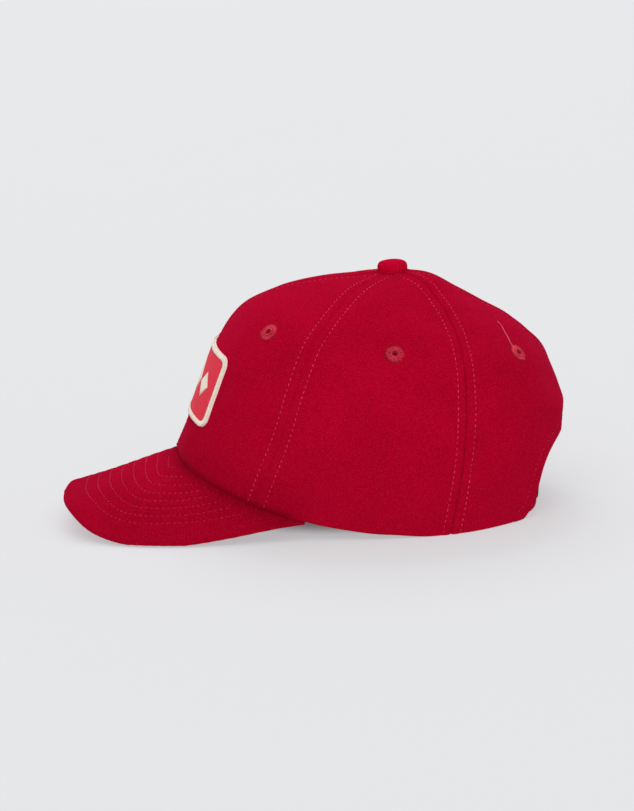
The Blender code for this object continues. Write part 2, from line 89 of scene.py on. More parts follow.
# Opening at the back
ARCH_HALF_WIDTH = 48 * MM
ARCH_HEIGHT = 41 * MM
ARCH_SQUARENESS = 3.6
ARCH_FLARE = 6 * MM
ARCH_FLARE_HEIGHT = 12 * MM
SHOULDER_HEIGHT = 32.8 * MM
ARCH_HEM = 7.0 * MM
ARCH_STITCH_LIFT = 0.12 * MM
HEM_PAST_STITCHES = 1.2 * MM
HEM_FALL = 2.0 * MM
HEM_RISE = 0.35 * MM
HEM_DIP = 0.25 * MM

# Peak
PEAK_REACH = 62.5 * MM
PEAK_SWELL = 3.0 * MM
PEAK_TIP_RISE = 14.5 * MM
PEAK_THICK = 3.2 * MM
PEAK_END_THICK = 1.0 * MM
PEAK_END_WIDTH = 1.2 * MM
PEAK_END_ANGLE = 69.5
PEAK_SQUARENESS = 2.7
PEAK_FIRST_ROW = 13.2 * MM
PEAK_MIDDLE_STEP = 7.0 * MM
PEAK_SIDE_STEP = 5.2 * MM
PEAK_SIDE_PLACE = 0.5
PEAK_ROWS = 8
PEAK_PUFF = 0.30 * MM
PEAK_PUFF_WIDTH = 1.2 * MM
PEAK_EDGE_SWELL = 0.2 * MM
PEAK_EDGE_SWELL_WIDTH = 4 * MM
PEAK_UNDER_SHARE = 0.5
PEAK_WAVE_SHARE = 0.5
PEAK_ROUNDING = 1.5 * MM
PEAK_EDGE_ROUND = 0.45 * MM
PEAK_ROW_CLEAR = 3.5 * MM
PEAK_FLOOR_GAP = 0.05 * MM
PEAK_EDGE_PLACES = np.linspace(-1, 1, 900)

# Button
BUTTON_RADIUS = 8.2 * MM
BUTTON_HEIGHT = 5.2 * MM
BUTTON_SINK = 1.0 * MM
SHANK_HOLE = 2.9 * MM
BUTTON_SIDES = 72

# Eyelets
EYELET_RADIUS = 5.3 * MM
EYELET_HOLE = 0.7 * MM
EYELET_LIP = 2.2 * MM
EYELET_CUT = 3.0 * MM
EYELET_THREADS = 46
FIRST_EYELET_SEED = 11
EYELET_THREAD_START = EYELET_LIP + 0.1 * MM
EYELET_MIDDLE = (EYELET_RADIUS + EYELET_THREAD_START) / 2
EYELET_THREAD_LENGTH = 1.04 * (EYELET_RADIUS - EYELET_THREAD_START)
LIP_THREAD_LENGTH = 1.15 * MM
LIP_SLANT = 0.45
EYELET_PULL = 0.35 * MM
EYELET_PULL_REACH = 5.5 * MM
TAIL_RADIUS = 0.32 * MM
TAIL_END_SHARE = 0.55
TAIL_LIFT = 0.30 * MM
TAIL_WAVE = 0.25 * MM

# Patch
PATCH_HALF_WIDTH = 40.2 * MM
PATCH_HALF_HEIGHT = 20.4 * MM
PATCH_CORNER = 6.5 * MM
PATCH_THICK = 0.9 * MM
PATCH_BORDER_WIDTH = 3.0 * MM
PATCH_BORDER_THICK = 1.45 * MM
PATCH_THREAD_LENGTH = 1.06 * PATCH_BORDER_WIDTH
PATCH_CENTRE = (0.0, 0.252)
PATCH_TUCK = 0.6 * MM
PATCH_TOP = GAP + PATCH_THICK
PATCH_CORNER_STEPS = 10
PATCH_SIDE_STEPS = (40, 22)
PATCH_FLAT_MARGIN = 1 * MM
PATCH_FLAT_FADE = 8 * MM
PATCH_FLAT_DEPTH = 60 * MM
ORNAMENT_PAD = 0.12 * MM
ORNAMENT_INSET = 0.3 * MM

# Strap
STRAP_HALF_LENGTH = 62 * MM
STRAP_WIDTH = 19 * MM
STRAP_THICK = 1.8 * MM
STRAP_FOOT = 1.0 * MM
STRAP_LEAN = 2.5 * MM
STRAP_LEAN_FADE = (12 * MM, 46 * MM)
STRAP_ROUND = 0.8 * MM
STRAP_ROW = 2.2 * MM
STRAP_DIP = 0.18 * MM
STRAP_SWELL = 0.06 * MM
STRAP_STITCH_SINK = 0.02 * MM
STRAP_STEPS = 121
SLIDE_HALF_WIDTH = 6 * MM
SLIDE_BAR = 0.8 * MM
SLIDE_CORNER = 0.9 * MM

# How threads are laid: one at each step, how thick, how high, and how much each one differs
Laid = namedtuple("Laid", "spacing thickness height unevenness")
SEAM_LAID = Laid(3.0 * MM, 0.62 * MM, 0.44 * MM, 0.12)
ARCH_LAID = Laid(3.0 * MM, 0.50 * MM, 0.42 * MM, 0.10)
PEAK_LAID = Laid(3.2 * MM, 0.44 * MM, 0.32 * MM, 0.12)
STRAP_LAID = Laid(3.0 * MM, 0.45 * MM, 0.36 * MM, 0.10)
EYELET_LAID = Laid(2 * math.pi * EYELET_MIDDLE / EYELET_THREADS, 0.36 * MM, 0.62 * MM, 0.22)
LIP_LAID = Laid(0.40 * MM, 0.42 * MM, 0.80 * MM, 0.10)
BORDER_LAID = Laid(0.46 * MM, 0.60 * MM, 0.75 * MM, 0.07)
ORNAMENT_LAID = Laid(0.42 * MM, 0.58 * MM, 0.40 * MM, 0.012)

Section = namedtuple(
    "Section",
    "level front back side front_climb back_climb side_climb squareness front_seam back_seam",
)
SECTIONS = [
    Section(0.000, 1.000, 1.000, 1.000, 0.000, 0.000, 0.000, 2.30, 54.5, 108.0),
    Section(0.125, 0.930, 1.070, 1.035, 0.212, 0.165, 0.170, 2.30, 56.6, 110.2),
    Section(0.250, 0.860, 1.130, 1.050, 0.428, 0.335, 0.340, 2.25, 58.6, 112.2),
    Section(0.375, 0.785, 1.120, 1.025, 0.645, 0.500, 0.510, 2.20, 59.8, 114.2),
    Section(0.500, 0.668, 1.015, 0.940, 0.826, 0.648, 0.665, 2.15, 59.6, 117.3),
    Section(0.625, 0.505, 0.820, 0.775, 0.925, 0.760, 0.790, 2.10, 58.0, 121.8),
    Section(0.750, 0.335, 0.585, 0.550, 0.962, 0.855, 0.887, 2.05, 55.0, 126.5),
    Section(0.875, 0.165, 0.300, 0.285, 0.982, 0.955, 0.962, 2.00, 52.0, 132.0),
    Section(1.000, 0.000, 0.000, 0.000, 1.000, 1.000, 1.000, 2.00, 51.0, 135.0),
]
RISE_SPREAD = 0.20
RISE_POWER = 1.6

# Depth and width of each seam's groove, and how far the cloth swells beside it
Seam = namedtuple("Seam", "name groove width band")
SEAMS = [
    Seam("front middle", 0.50 * MM, 0.7 * MM, 0.26 * MM),
    Seam("front_seam", 0.17 * MM, 0.7 * MM, 0.20 * MM),
    Seam("back_seam", 0.78 * MM, 0.65 * MM, 0.36 * MM),
    Seam("back middle", 0.65 * MM, 0.65 * MM, 0.36 * MM),
]

# Rows of stitches: the seam they follow, and the seam towards which they lie
SIDE_ROWS = [
    ("front_seam", "front middle"),
    ("front_seam", "back_seam"),
    ("back_seam", "front_seam"),
    ("back_seam", "back middle"),
]
MIDDLE_ROWS = [("front middle", "front_seam"), ("back middle", "back_seam")]

PeakEdge = namedtuple("PeakEdge", "place tip_share end_share")
PEAK_EDGE = [
    PeakEdge(0.00, 1.00, 0.00),
    PeakEdge(0.20, 0.80, 0.00),
    PeakEdge(0.40, 0.25, 0.00),
    PeakEdge(0.55, 0.00, 0.00),
    PeakEdge(0.75, 0.00, 0.00),
    PeakEdge(0.88, 0.00, 0.36),
    PeakEdge(1.00, 0.00, 0.88),
]

Eyelet = namedtuple("Eyelet", "panel angle level")
EYELETS = [
    Eyelet("front", 36.2, 0.505),
    Eyelet("side", 93.2, 0.570),
    Eyelet("back", 147.8, 0.527),
]

# Slow unevenness of the cloth: how high, and the waves along each axis in one metre
Wave = namedtuple("Wave", "height across along up shift")
WAVES = [
    Wave(0.30 * MM, 110, 70, 60, 0.4),
    Wave(0.25 * MM, -60, 120, 90, 1.7),
    Wave(0.22 * MM, 150, -90, 130, 2.9),
    Wave(0.14 * MM, 210, 190, -160, 4.2),
]

# Corners of sections that turn: share of the radius or width, share of the height
BUTTON_PROFILE = [
    (0.25, -0.9), (0.86, -0.35), (0.955, -0.08), (0.99, 0.10), (1.0, 0.28), (1.0, 0.44),
    (0.985, 0.58), (0.94, 0.73), (0.86, 0.85), (0.73, 0.925), (0.56, 0.965), (0.38, 0.985),
    (0.18, 1.0), (0.0, 1.003),
]
BORDER_PROFILE = [
    (0.02, -0.3), (0.0, 0.35), (0.18, 0.78), (0.5, 0.92), (0.82, 0.78), (1.0, 0.35), (0.98, -0.3)
]

# Signs of the four corners round a middle, in turning order
QUARTERS = [(1, 1), (-1, 1), (-1, -1), (1, -1)]

# Section of an eyelet: radius, and lift above the cloth
EYELET_PROFILE = [
    (EYELET_HOLE, -CLOTH - 0.5 * MM),
    (EYELET_HOLE + 0.9 * MM, -CLOTH - 0.7 * MM),
    (EYELET_CUT + 0.7 * MM, -CLOTH - 0.5 * MM),
    (EYELET_CUT - 0.15 * MM, -CLOTH),
    (EYELET_CUT - 0.15 * MM, -0.5 * MM),
    (EYELET_RADIUS + 0.2 * MM, -0.45 * MM),
    (EYELET_RADIUS + 0.1 * MM, 0.03 * MM),
    (EYELET_RADIUS - 0.3 * MM, 0.09 * MM),
    (EYELET_RADIUS - 1.4 * MM, 0.06 * MM),
    (EYELET_LIP + 0.5 * MM, 0.12 * MM),
    (EYELET_LIP + 0.35 * MM, 0.42 * MM),
    (EYELET_LIP, 0.56 * MM),
    (EYELET_LIP - 0.35 * MM, 0.46 * MM),
    (EYELET_HOLE, 0.1 * MM),
]

Lozenge = namedtuple("Lozenge", "centre half_width half_height")
LOZENGES = [
    Lozenge(-21.5 * MM, 7.5 * MM, 7.0 * MM),
    Lozenge(0.0, 10.0 * MM, 9.5 * MM),
    Lozenge(21.5 * MM, 7.5 * MM, 7.0 * MM),
]
LOZENGE_RINGS = (1.0, 0.8, 0.6, 0.4, 0.2, 0.04)

# Swells and hollows along the crown's middle line: the half they are on, how high they lie,
# how far they reach, how much they stand out
Swell = namedtuple("Swell", "half height reach amount")
SWELLS = [
    Swell("front", 119 * MM, 8 * MM, 0.6 * MM),
    Swell("back", 126 * MM, 4.5 * MM, 0.9 * MM),
    Swell("back", 101 * MM, 8 * MM, 0.8 * MM),
    Swell("back", 73 * MM, 9 * MM, -0.9 * MM),
    Swell("back", 54 * MM, 6 * MM, 1.7 * MM),
]
SWELL_WIDTH = 34 * MM
SWELL_START = 18 * MM

# Painted shade in the wool's colour beside the fold between crown and peak, on each side: share,
# and how far it reaches
Shadow = namedtuple("Shadow", "share reach")
CROWN_SHADOWS = [Shadow(0.14, 20 * MM), Shadow(0.26, 2.6 * MM)]
PEAK_SHADOWS = [Shadow(0.19, 9 * MM), Shadow(0.17, 3 * MM)]
FOLD_END_ANGLE = 64

# Loose end of thread at the left back eyelet: places beside the eyelet's middle, in millimetres
LOOSE_THREAD = [(0.4, 2.6), (-0.7, 4.2), (0.6, 8.1), (3.2, 13.1), (5.8, 17.8), (8.1, 22.6)]

# Distances of a panel's columns from its seam, in millimetres, where the relief is fine
SEAM_COLUMNS = (0.0, 0.3, 0.6, 0.95, 1.4, 2.0, 2.8, 3.5, 4.0, 4.4, 4.8, 5.2, 5.6, 6.2, 7.2, 8.6)
SIDE_COLUMNS = 34
ARCH_SIDE_COLUMNS = 26
OVER_ARCH_COLUMNS = 30
PANEL_ROWS = 120
LOW_ROWS = 26
SQUEEZE_WIDTH = 11.0
PANEL_SEAMS = {"front": ("front middle", "front_seam"), "side": ("front_seam", "back_seam")}
WALL_TURNS = np.radians((36, 72, 108, 144))
SHARP_ANGLE = math.radians(55)

# Keeps a point's place on the floor and takes away its height
ON_FLOOR = np.array([1, 1, 0])

# Studio: pale paper under an even white sky, with a broad sun on each side
FLOOR_REACH = 40.0
FLOOR_CORNERS = [(-1, -1), (1, -1), (1, 1), (-1, 1)]
FLOOR_SINK = 0.02 * MM
SKY_STRENGTH = 0.51
Sun = namedtuple("Sun", "name towards strength spread")
SUNS = [Sun("key", (0.75, 0.0, 0.75), 1.14, 60), Sun("back", (-0.7, -0.1, 0.7), 1.0, 40)]


# ---------------------------------------------------------------- surface of the crown


def column(rows, name):
    return np.array([getattr(row, name) for row in rows])


def smooth_between(places, values, at):
    """Reads a table at any place between its rows, on a curve that passes through them."""
    slopes = np.gradient(values, places)
    row = np.clip(np.searchsorted(places, at, side="right") - 1, 0, len(places) - 2)
    step = places[row + 1] - places[row]
    share = (at - places[row]) / step
    from_start = (2 * share**3 - 3 * share**2 + 1) * values[row]
    from_end = (3 * share**2 - 2 * share**3) * values[row + 1]
    leave = (share**3 - 2 * share**2 + share) * step * slopes[row]
    arrive = (share**3 - share**2) * step * slopes[row + 1]
    return from_start + from_end + leave + arrive


def section_value(name, level):
    return smooth_between(column(SECTIONS, "level"), column(SECTIONS, name), level)


def oval_power(value, exponent):
    return np.sign(value) * np.abs(value) ** exponent


def smooth(value):
    """Goes softly from 0 to 1 as the value does, and stays there beyond."""
    share = np.clip(value, 0, 1)
    return share**2 * (3 - 2 * share)


def hollow(distance, width):
    """1 at a line, falling away to 0 on both sides."""
    return np.exp(-((distance / width) ** 2))


def unit(vectors):
    return vectors / np.maximum(np.linalg.norm(vectors, axis=-1, keepdims=True), 1e-12)


def circle(count):
    """Evenly spaced directions round a circle."""
    turns = np.arange(count) * 2 * math.pi / count
    return np.stack([np.cos(turns), np.sin(turns)], axis=1)


def run_length(points, axis=0):
    """Distance gone along lines of points from their start."""
    steps = np.linalg.norm(np.diff(points, axis=axis), axis=-1)
    start = np.zeros_like(np.take(steps, [0], axis=axis))
    return np.concatenate([start, np.cumsum(steps, axis=axis)], axis=axis)


def crown_point(angle, level):
    """Outside of the crown at an angle from the front and a level from rim to button."""
    angle = np.asarray(angle, dtype=float)
    level = np.asarray(level, dtype=float)
    cosine = np.cos(angle)
    power = 2 / section_value("squareness", level)
    front = FRONT_REACH * section_value("front", level)
    back = BACK_REACH * section_value("back", level)
    side = section_value("side", level)
    widest = WIDEST_AHEAD * side
    across = HALF_WIDTH * side * oval_power(np.sin(angle), power)
    reach = np.where(cosine > 0, front - widest, back + widest)
    along = AXIS_Y - widest - reach * oval_power(cosine, power)
    front_height = FRONT_RISE + (CROWN_HEIGHT - FRONT_RISE) * section_value("front_climb", level)
    back_height = CROWN_HEIGHT * section_value("back_climb", level)
    side_height = CROWN_HEIGHT * section_value("side_climb", level)
    frontness = (np.maximum(0, cosine + RISE_SPREAD) / (1 + RISE_SPREAD)) ** RISE_POWER
    backness = np.maximum(0, -cosine) ** 2
    height = (
        side_height
        + (front_height - side_height) * frontness
        + (back_height - side_height) * backness
    )
    return np.stack([across, along, height], axis=-1)


def crown_slopes(angle, level, step=0.002):
    low = np.clip(level - step, 0, 1)
    high = np.clip(level + step, 0, 1)
    by_angle = (crown_point(angle + step, level) - crown_point(angle - step, level)) / (2 * step)
    rise = np.expand_dims(high - low, -1)
    by_level = (crown_point(angle, high) - crown_point(angle, low)) / rise
    return by_angle, by_level


def crown_outward(angle, level):
    by_angle, by_level = crown_slopes(angle, level)
    return unit(np.cross(by_angle, by_level))


def local_frame(angle, level):
    """Origin, sideways, upward and outward directions on the crown."""
    origin = crown_point(angle, level)
    by_angle, by_level = crown_slopes(angle, level)
    outward = unit(np.cross(by_angle, by_level))
    sideways = unit(by_angle)
    return origin, sideways, np.cross(outward, sideways), outward


def find_on_crown(targets, axes, angles, levels, last_angle=math.inf):
    """Angles and levels of the places that lie at the targets when measured along two axes."""
    for _ in range(12):
        miss = targets - crown_point(angles, levels) @ axes
        by_angle, by_level = crown_slopes(angles, levels)
        slopes = np.stack([by_angle @ axes, by_level @ axes], axis=-1)
        step = np.linalg.solve(slopes, miss[..., None])[..., 0]
        angles = np.minimum(angles + np.clip(step[:, 0], -0.2, 0.2), last_angle)
        levels = np.clip(levels + step[:, 1], 0, 1)
    return angles, levels


def lay_on_crown(place, offsets):
    """Angles and levels at (across, up) offsets from a place on the crown."""
    origin, sideways, upward, _ = local_frame(*place)
    axes = np.stack([sideways, upward], axis=-1)
    start = np.ones(len(offsets))
    return find_on_crown(offsets + origin @ axes, axes, start * place[0], start * place[1])


def lay_out(place, offsets, lift):
    """Points at offsets from a place on the crown, lifted off it, and the directions out of it."""
    angles, levels = lay_on_crown(place, offsets)
    outward = crown_outward(angles, levels)
    return crown_point(angles, levels) + outward * lift, outward


def drape(place, offsets, lift):
    return lay_out(place, offsets, lift)[0]


def mirrored(points, side):
    return points * np.array([side, 1, 1])


# ---------------------------------------------------------------- seams and relief


def seam_angle(seam, level):
    if seam == "front middle":
        return np.zeros_like(level)
    if seam == "back middle":
        return np.full_like(level, math.pi)
    return np.radians(section_value(seam, level))


def button_level(radius):
    """Level at which the crown has come within a radius of its axis."""
    levels = np.linspace(0.8, 1.0, 801)
    widest = np.minimum(
        HALF_WIDTH * section_value("side", levels),
        FRONT_REACH * section_value("front", levels),
    )
    return float(levels[np.argmin(np.abs(widest - radius))])


def arch_half_width(height):
    share = np.clip(height / ARCH_HEIGHT, 0, 1)
    rounded = (1 - share**ARCH_SQUARENESS) ** (1 / ARCH_SQUARENESS)
    flare = ARCH_FLARE * np.maximum(0, 1 - height / ARCH_FLARE_HEIGHT) ** 2
    return ARCH_HALF_WIDTH * rounded + flare


def first_outside(values):
    """Place, between samples, at which a row of values turns from below 0 to above it."""
    place = int(np.argmax(values > 0))
    if place == 0:
        return 0.0
    before = values[place - 1]
    return place - 1 + before / (before - values[place])


def arch_angle(level):
    """Angle at which the arch's side cuts the crown at a level."""
    angles = np.radians(np.linspace(180, 125, 400))
    points = crown_point(angles, np.full_like(angles, level))
    place = first_outside(points[:, 0] - arch_half_width(points[:, 2]))
    return float(np.interp(place, np.arange(len(angles)), angles))


def shoulder_level():
    levels = np.linspace(0.1, 0.3, 81)
    heights = [crown_point(arch_angle(level), level)[2] for level in levels]
    return float(np.interp(SHOULDER_HEIGHT, heights, levels))


SHOULDER = shoulder_level()
TOP = button_level(SHANK_HOLE)
ARCH_LEVELS = np.linspace(0, SHOULDER, 33)
ARCH_ANGLES = np.array([arch_angle(level) for level in ARCH_LEVELS])
BACK_SEAM_TURN = float(seam_angle("back_seam", np.array(SHOULDER)))
DIVIDING_SHARE = (ARCH_ANGLES[-1] - BACK_SEAM_TURN) / (math.pi - BACK_SEAM_TURN)


def dividing_angle(level):
    """Line up the side of the arch and on to the button, between a back panel's two fields."""
    level = np.asarray(level, dtype=float)
    here = seam_angle("back_seam", level)
    above = here + DIVIDING_SHARE * (math.pi - here)
    return np.where(level <= SHOULDER, np.interp(level, ARCH_LEVELS, ARCH_ANGLES), above)


def over_arch_level(share):
    """Level at which a line of the field above the arch leaves the arch's edge."""
    levels = np.linspace(SHOULDER - 0.01, 0.45, 300)
    dividing = dividing_angle(levels)
    points = crown_point(dividing + share * (math.pi - dividing), levels)
    inside = (np.abs(points[:, 0]) / ARCH_HALF_WIDTH) ** ARCH_SQUARENESS
    inside += (points[:, 2] / ARCH_HEIGHT) ** ARCH_SQUARENESS
    return float(np.interp(first_outside(inside - 1), np.arange(len(levels)), levels))


def seam_line(seam):
    start = over_arch_level(1.0) if seam == "back middle" else 0.0
    levels = np.linspace(start, 1.0, 420)
    return crown_point(seam_angle(seam, levels), levels)


def arch_line():
    """Edge of the opening on the left half, from its foot up to the back middle seam."""
    low = np.linspace(0, SHOULDER, 120)
    shares = np.linspace(0, 1, 100)[1:]
    high = np.array([over_arch_level(share) for share in shares])
    dividing = dividing_angle(high)
    over = np.stack([dividing + shares * (math.pi - dividing), high], axis=1)
    places = np.concatenate([np.stack([dividing_angle(low), low], axis=1), over])
    return crown_point(places[:, 0], places[:, 1]), places


SEAM_LINES = [(seam, seam_line(seam.name)) for seam in SEAMS]
ARCH_POINTS, ARCH_PLACES = arch_line()


def distance_to(points, line):
    """Distance of each point to a closely sampled line."""
    flat = points.reshape(-1, 3)
    nearest = np.empty(len(flat))
    for start in range(0, len(flat), 4000):
        part = flat[start : start + 4000]
        gaps = ((part[:, None, :] - line[None, :, :]) ** 2).sum(axis=-1)
        nearest[start : start + 4000] = np.sqrt(gaps.min(axis=1))
    return nearest.reshape(points.shape[:-1])


def seam_relief(distance, seam):
    """Height of the cloth beside a seam: groove, raised band, stitch line."""
    rise = smooth((distance - BAND_START) / BAND_RISE)
    fall = smooth((STITCH_LINE + BAND_PAST_STITCHES - distance) / BAND_FALL)
    groove = seam.groove * hollow(distance, seam.width)
    stitched = STITCH_DIP * hollow(distance - STITCH_LINE, STITCH_DIP_WIDTH)
    return seam.band * rise * fall - groove - stitched


def unevenness(points):
    total = np.zeros(points.shape[:-1])
    for wave in WAVES:
        phase = points @ np.array([wave.across, wave.along, wave.up]) + wave.shift
        total = total + wave.height * np.sin(phase)
    return total


def eyelet_place(eyelet):
    return math.radians(eyelet.angle), eyelet.level


EYELET_CENTRES = [crown_point(*eyelet_place(eyelet)) for eyelet in EYELETS]


def under_patch(points):
    """1 where the cloth lies flat under the patch, 0 away from it."""
    origin, sideways, upward, _ = local_frame(*PATCH_CENTRE)
    across = np.abs((points - origin) @ sideways) - PATCH_HALF_WIDTH
    up = np.abs((points - origin) @ upward) - PATCH_HALF_HEIGHT
    share = smooth(1 - (np.maximum(across, up) - PATCH_FLAT_MARGIN) / PATCH_FLAT_FADE)
    return share * (points[..., 1] < AXIS_Y - PATCH_FLAT_DEPTH)


def middle_swell(points):
    """Broad swells and hollows along the crown's middle line, on the half that each is on."""
    total = np.zeros(points.shape[:-1])
    for swell in SWELLS:
        towards = 1 if swell.half == "back" else -1
        share = smooth(towards * (points[..., 1] - AXIS_Y) / SWELL_START)
        total = total + swell.amount * hollow(points[..., 2] - swell.height, swell.reach) * share
    return total * hollow(points[..., 0], SWELL_WIDTH)


def crown_relief(points, side):
    """How far the cloth stands off the plain crown, for points of the left half."""
    height = unevenness(mirrored(points, side)) + middle_swell(points)
    for seam, line in SEAM_LINES:
        height = height + seam_relief(distance_to(points, line), seam)
    height = height * (1 - under_patch(points))
    for centre in EYELET_CENTRES:
        away = np.linalg.norm(points - centre, axis=-1)
        height = height - EYELET_PULL * hollow(away, EYELET_PULL_REACH)
    edge = distance_to(points, ARCH_POINTS)
    hem = smooth((ARCH_HEM + HEM_PAST_STITCHES - edge) / HEM_FALL)
    return height + HEM_RISE * hem - HEM_DIP * hollow(edge - ARCH_HEM, STITCH_DIP_WIDTH)


def on_cloth(angle, level, side, lift=0.0):
    """Points on the finished cloth and the directions out of it."""
    points = crown_point(angle, level)
    outward = crown_outward(angle, level)
    height = crown_relief(points, side) + lift
    placed = points + outward * height[..., None]
    return mirrored(placed, side), mirrored(outward, side)


# ---------------------------------------------------------------- meshes


def new_object(name, data):
    obj = bpy.data.objects.new(name, data)
    bpy.context.collection.objects.link(obj)
    return obj


def new_mesh(name, points, faces, edges=()):
    mesh = bpy.data.meshes.new(name)
    mesh.from_pydata([tuple(point) for point in points], edges, faces)
    return mesh


def close_up(mesh):
    """Merges doubled points and turns every face outwards."""
    shell = bmesh.new()
    shell.from_mesh(mesh)
    bmesh.ops.remove_doubles(shell, verts=shell.verts, dist=0.002 * MM)
    bmesh.ops.recalc_face_normals(shell, faces=shell.faces)
    shell.to_mesh(mesh)
    shell.free()


def add_piece(name, points, faces, material, slot, nodes=(), uvs=None, fold=None):
    """A finished mesh that rides with the cap and takes the place of its CAD nodes."""
    mesh = new_mesh(name, points, faces)
    if uvs is not None:
        layer = mesh.uv_layers.new(name="cloth")
        corners = np.empty(len(mesh.loops), dtype=np.int32)
        mesh.loops.foreach_get("vertex_index", corners)
        layer.data.foreach_set("uv", np.asarray(uvs, dtype=np.float32)[corners].ravel())
    # Painted shade of the fold, kept on the points for the wool's colour
    if fold is not None:
        layer = mesh.attributes.new("fold", "FLOAT", "POINT")
        layer.data.foreach_set("value", np.asarray(fold, dtype=np.float32))
    close_up(mesh)
    mesh.shade_smooth()
    mesh.set_sharp_from_angle(angle=SHARP_ANGLE)
    mesh.materials.append(material)
    return seat_piece(new_object(name, mesh), nodes)


def seat_piece(obj, nodes=()):
    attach(obj, "root")
    if nodes:
        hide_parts(*nodes)
    return obj


def ring_faces(rings, count, first=0, closed=False):
    """Quads between each ring of points and the next, and from the last to the first if closed."""
    faces = []
    for ring in range(rings if closed else rings - 1):
        here = first + ring * count
        there = first + (ring + 1) % rings * count
        for place in range(count):
            beside = (place + 1) % count
            faces.append((here + place, here + beside, there + beside, there + place))
    return faces


def capped_faces(rings, count, first=0):
    """Quads as from ring_faces, with the first and the last ring filled in."""
    last = first + (rings - 1) * count
    ends = [tuple(range(start, start + count)) for start in (first, last)]
    return ring_faces(rings, count, first) + ends


def add_loop(name, sections, material, slot, nodes):
    """A piece whose sections follow each other round a closed loop."""
    faces = ring_faces(*sections.shape[:2], closed=True)
    return add_piece(name, sections.reshape(-1, 3), faces, material, slot, nodes)


def lattice_faces(present):
    """Quads between the points that exist in a lattice."""
    numbers = -np.ones(present.shape, dtype=int)
    numbers[present] = np.arange(present.sum())
    near, far = numbers[:-1], numbers[1:]
    quads = np.stack([near[:, :-1], near[:, 1:], far[:, 1:], far[:, :-1]], axis=-1)
    return [tuple(quad) for quad in quads.reshape(-1, 4).tolist() if min(quad) >= 0]


def boundary_edges(faces):
    """Directed edges that belong to one face only."""
    seen = set()
    for face in faces:
        for here, there in zip(face, face[1:] + face[:1]):
            seen.add((here, there))
    return [(here, there) for here, there in seen if (there, here) not in seen]


def walled(outer, inner, faces, bulge, uvs):
    """Closed wall between two sheets, whose free edges are rounded by the bulge vectors."""
    count = len(outer)
    edges = boundary_edges(faces)
    rim = sorted({here for here, _ in edges})
    place_of = {index: place for place, index in enumerate(rim)}
    middle = (outer[rim] + inner[rim]) / 2
    half = (outer[rim] - inner[rim]) / 2
    rings = [middle + half * math.cos(turn) + bulge[rim] * math.sin(turn) for turn in WALL_TURNS]

    def chain(index):
        """Numbers of a free point's copies, from the outer sheet round to the inner."""
        first = 2 * count + place_of[index]
        return [index, *(first + ring * len(rim) for ring in range(len(rings))), index + count]

    all_faces = faces + [tuple(index + count for index in reversed(face)) for face in faces]
    for here, there in edges:
        near = chain(here)
        far = chain(there)
        for step in range(len(rings) + 1):
            all_faces.append((far[step], near[step], near[step + 1], far[step + 1]))
    all_uvs = np.concatenate([uvs, uvs] + [uvs[rim]] * len(rings))
    return np.concatenate([outer, inner] + rings), all_faces, all_uvs


def distances_across(first, last, level):
    """Angles from one line to another at each level, and their distances from the first."""
    angles = first[:, None] + (last - first)[:, None] * np.linspace(0, 1, 161)
    points = crown_point(angles, np.broadcast_to(level[:, None], angles.shape))
    return angles, run_length(points, axis=1)


def column_places(width, fine_start, fine_end, between):
    """Distances of a row's columns from its start: close together beside a seam."""
    squeeze = min(1, width / 2 / (SQUEEZE_WIDTH * MM))
    fine = (np.array(SEAM_COLUMNS) * MM + SEAM_GAP) * squeeze
    start = fine if fine_start else np.zeros(1)
    end = width - fine[::-1] if fine_end else np.full(1, width)
    middle = np.linspace(start[-1], end[0], between + 2)[1:-1]
    return np.concatenate([start, middle, end])


def spread_columns(first, last, level, fine_start, fine_end, between):
    """Angles of every row's columns, and their distances from the first line."""
    angles, away = distances_across(first, last, level)
    widths = [column_places(gone[-1], fine_start, fine_end, between) for gone in away]
    rows = [np.interp(places, gone, line) for places, gone, line in zip(widths, away, angles)]
    return np.array(rows), np.array(widths)


def plain_lattice(first_seam, last_seam):
    """Angles, levels and widths of a front or side panel's points."""
    levels = np.linspace(0, TOP, PANEL_ROWS + 1)
    first = seam_angle(first_seam, levels)
    last = seam_angle(last_seam, levels)
    angle, widths = spread_columns(first, last, levels, True, True, SIDE_COLUMNS)
    level = np.repeat(levels[:, None], angle.shape[1], axis=1)
    return angle, level, widths, np.ones(angle.shape, dtype=bool)


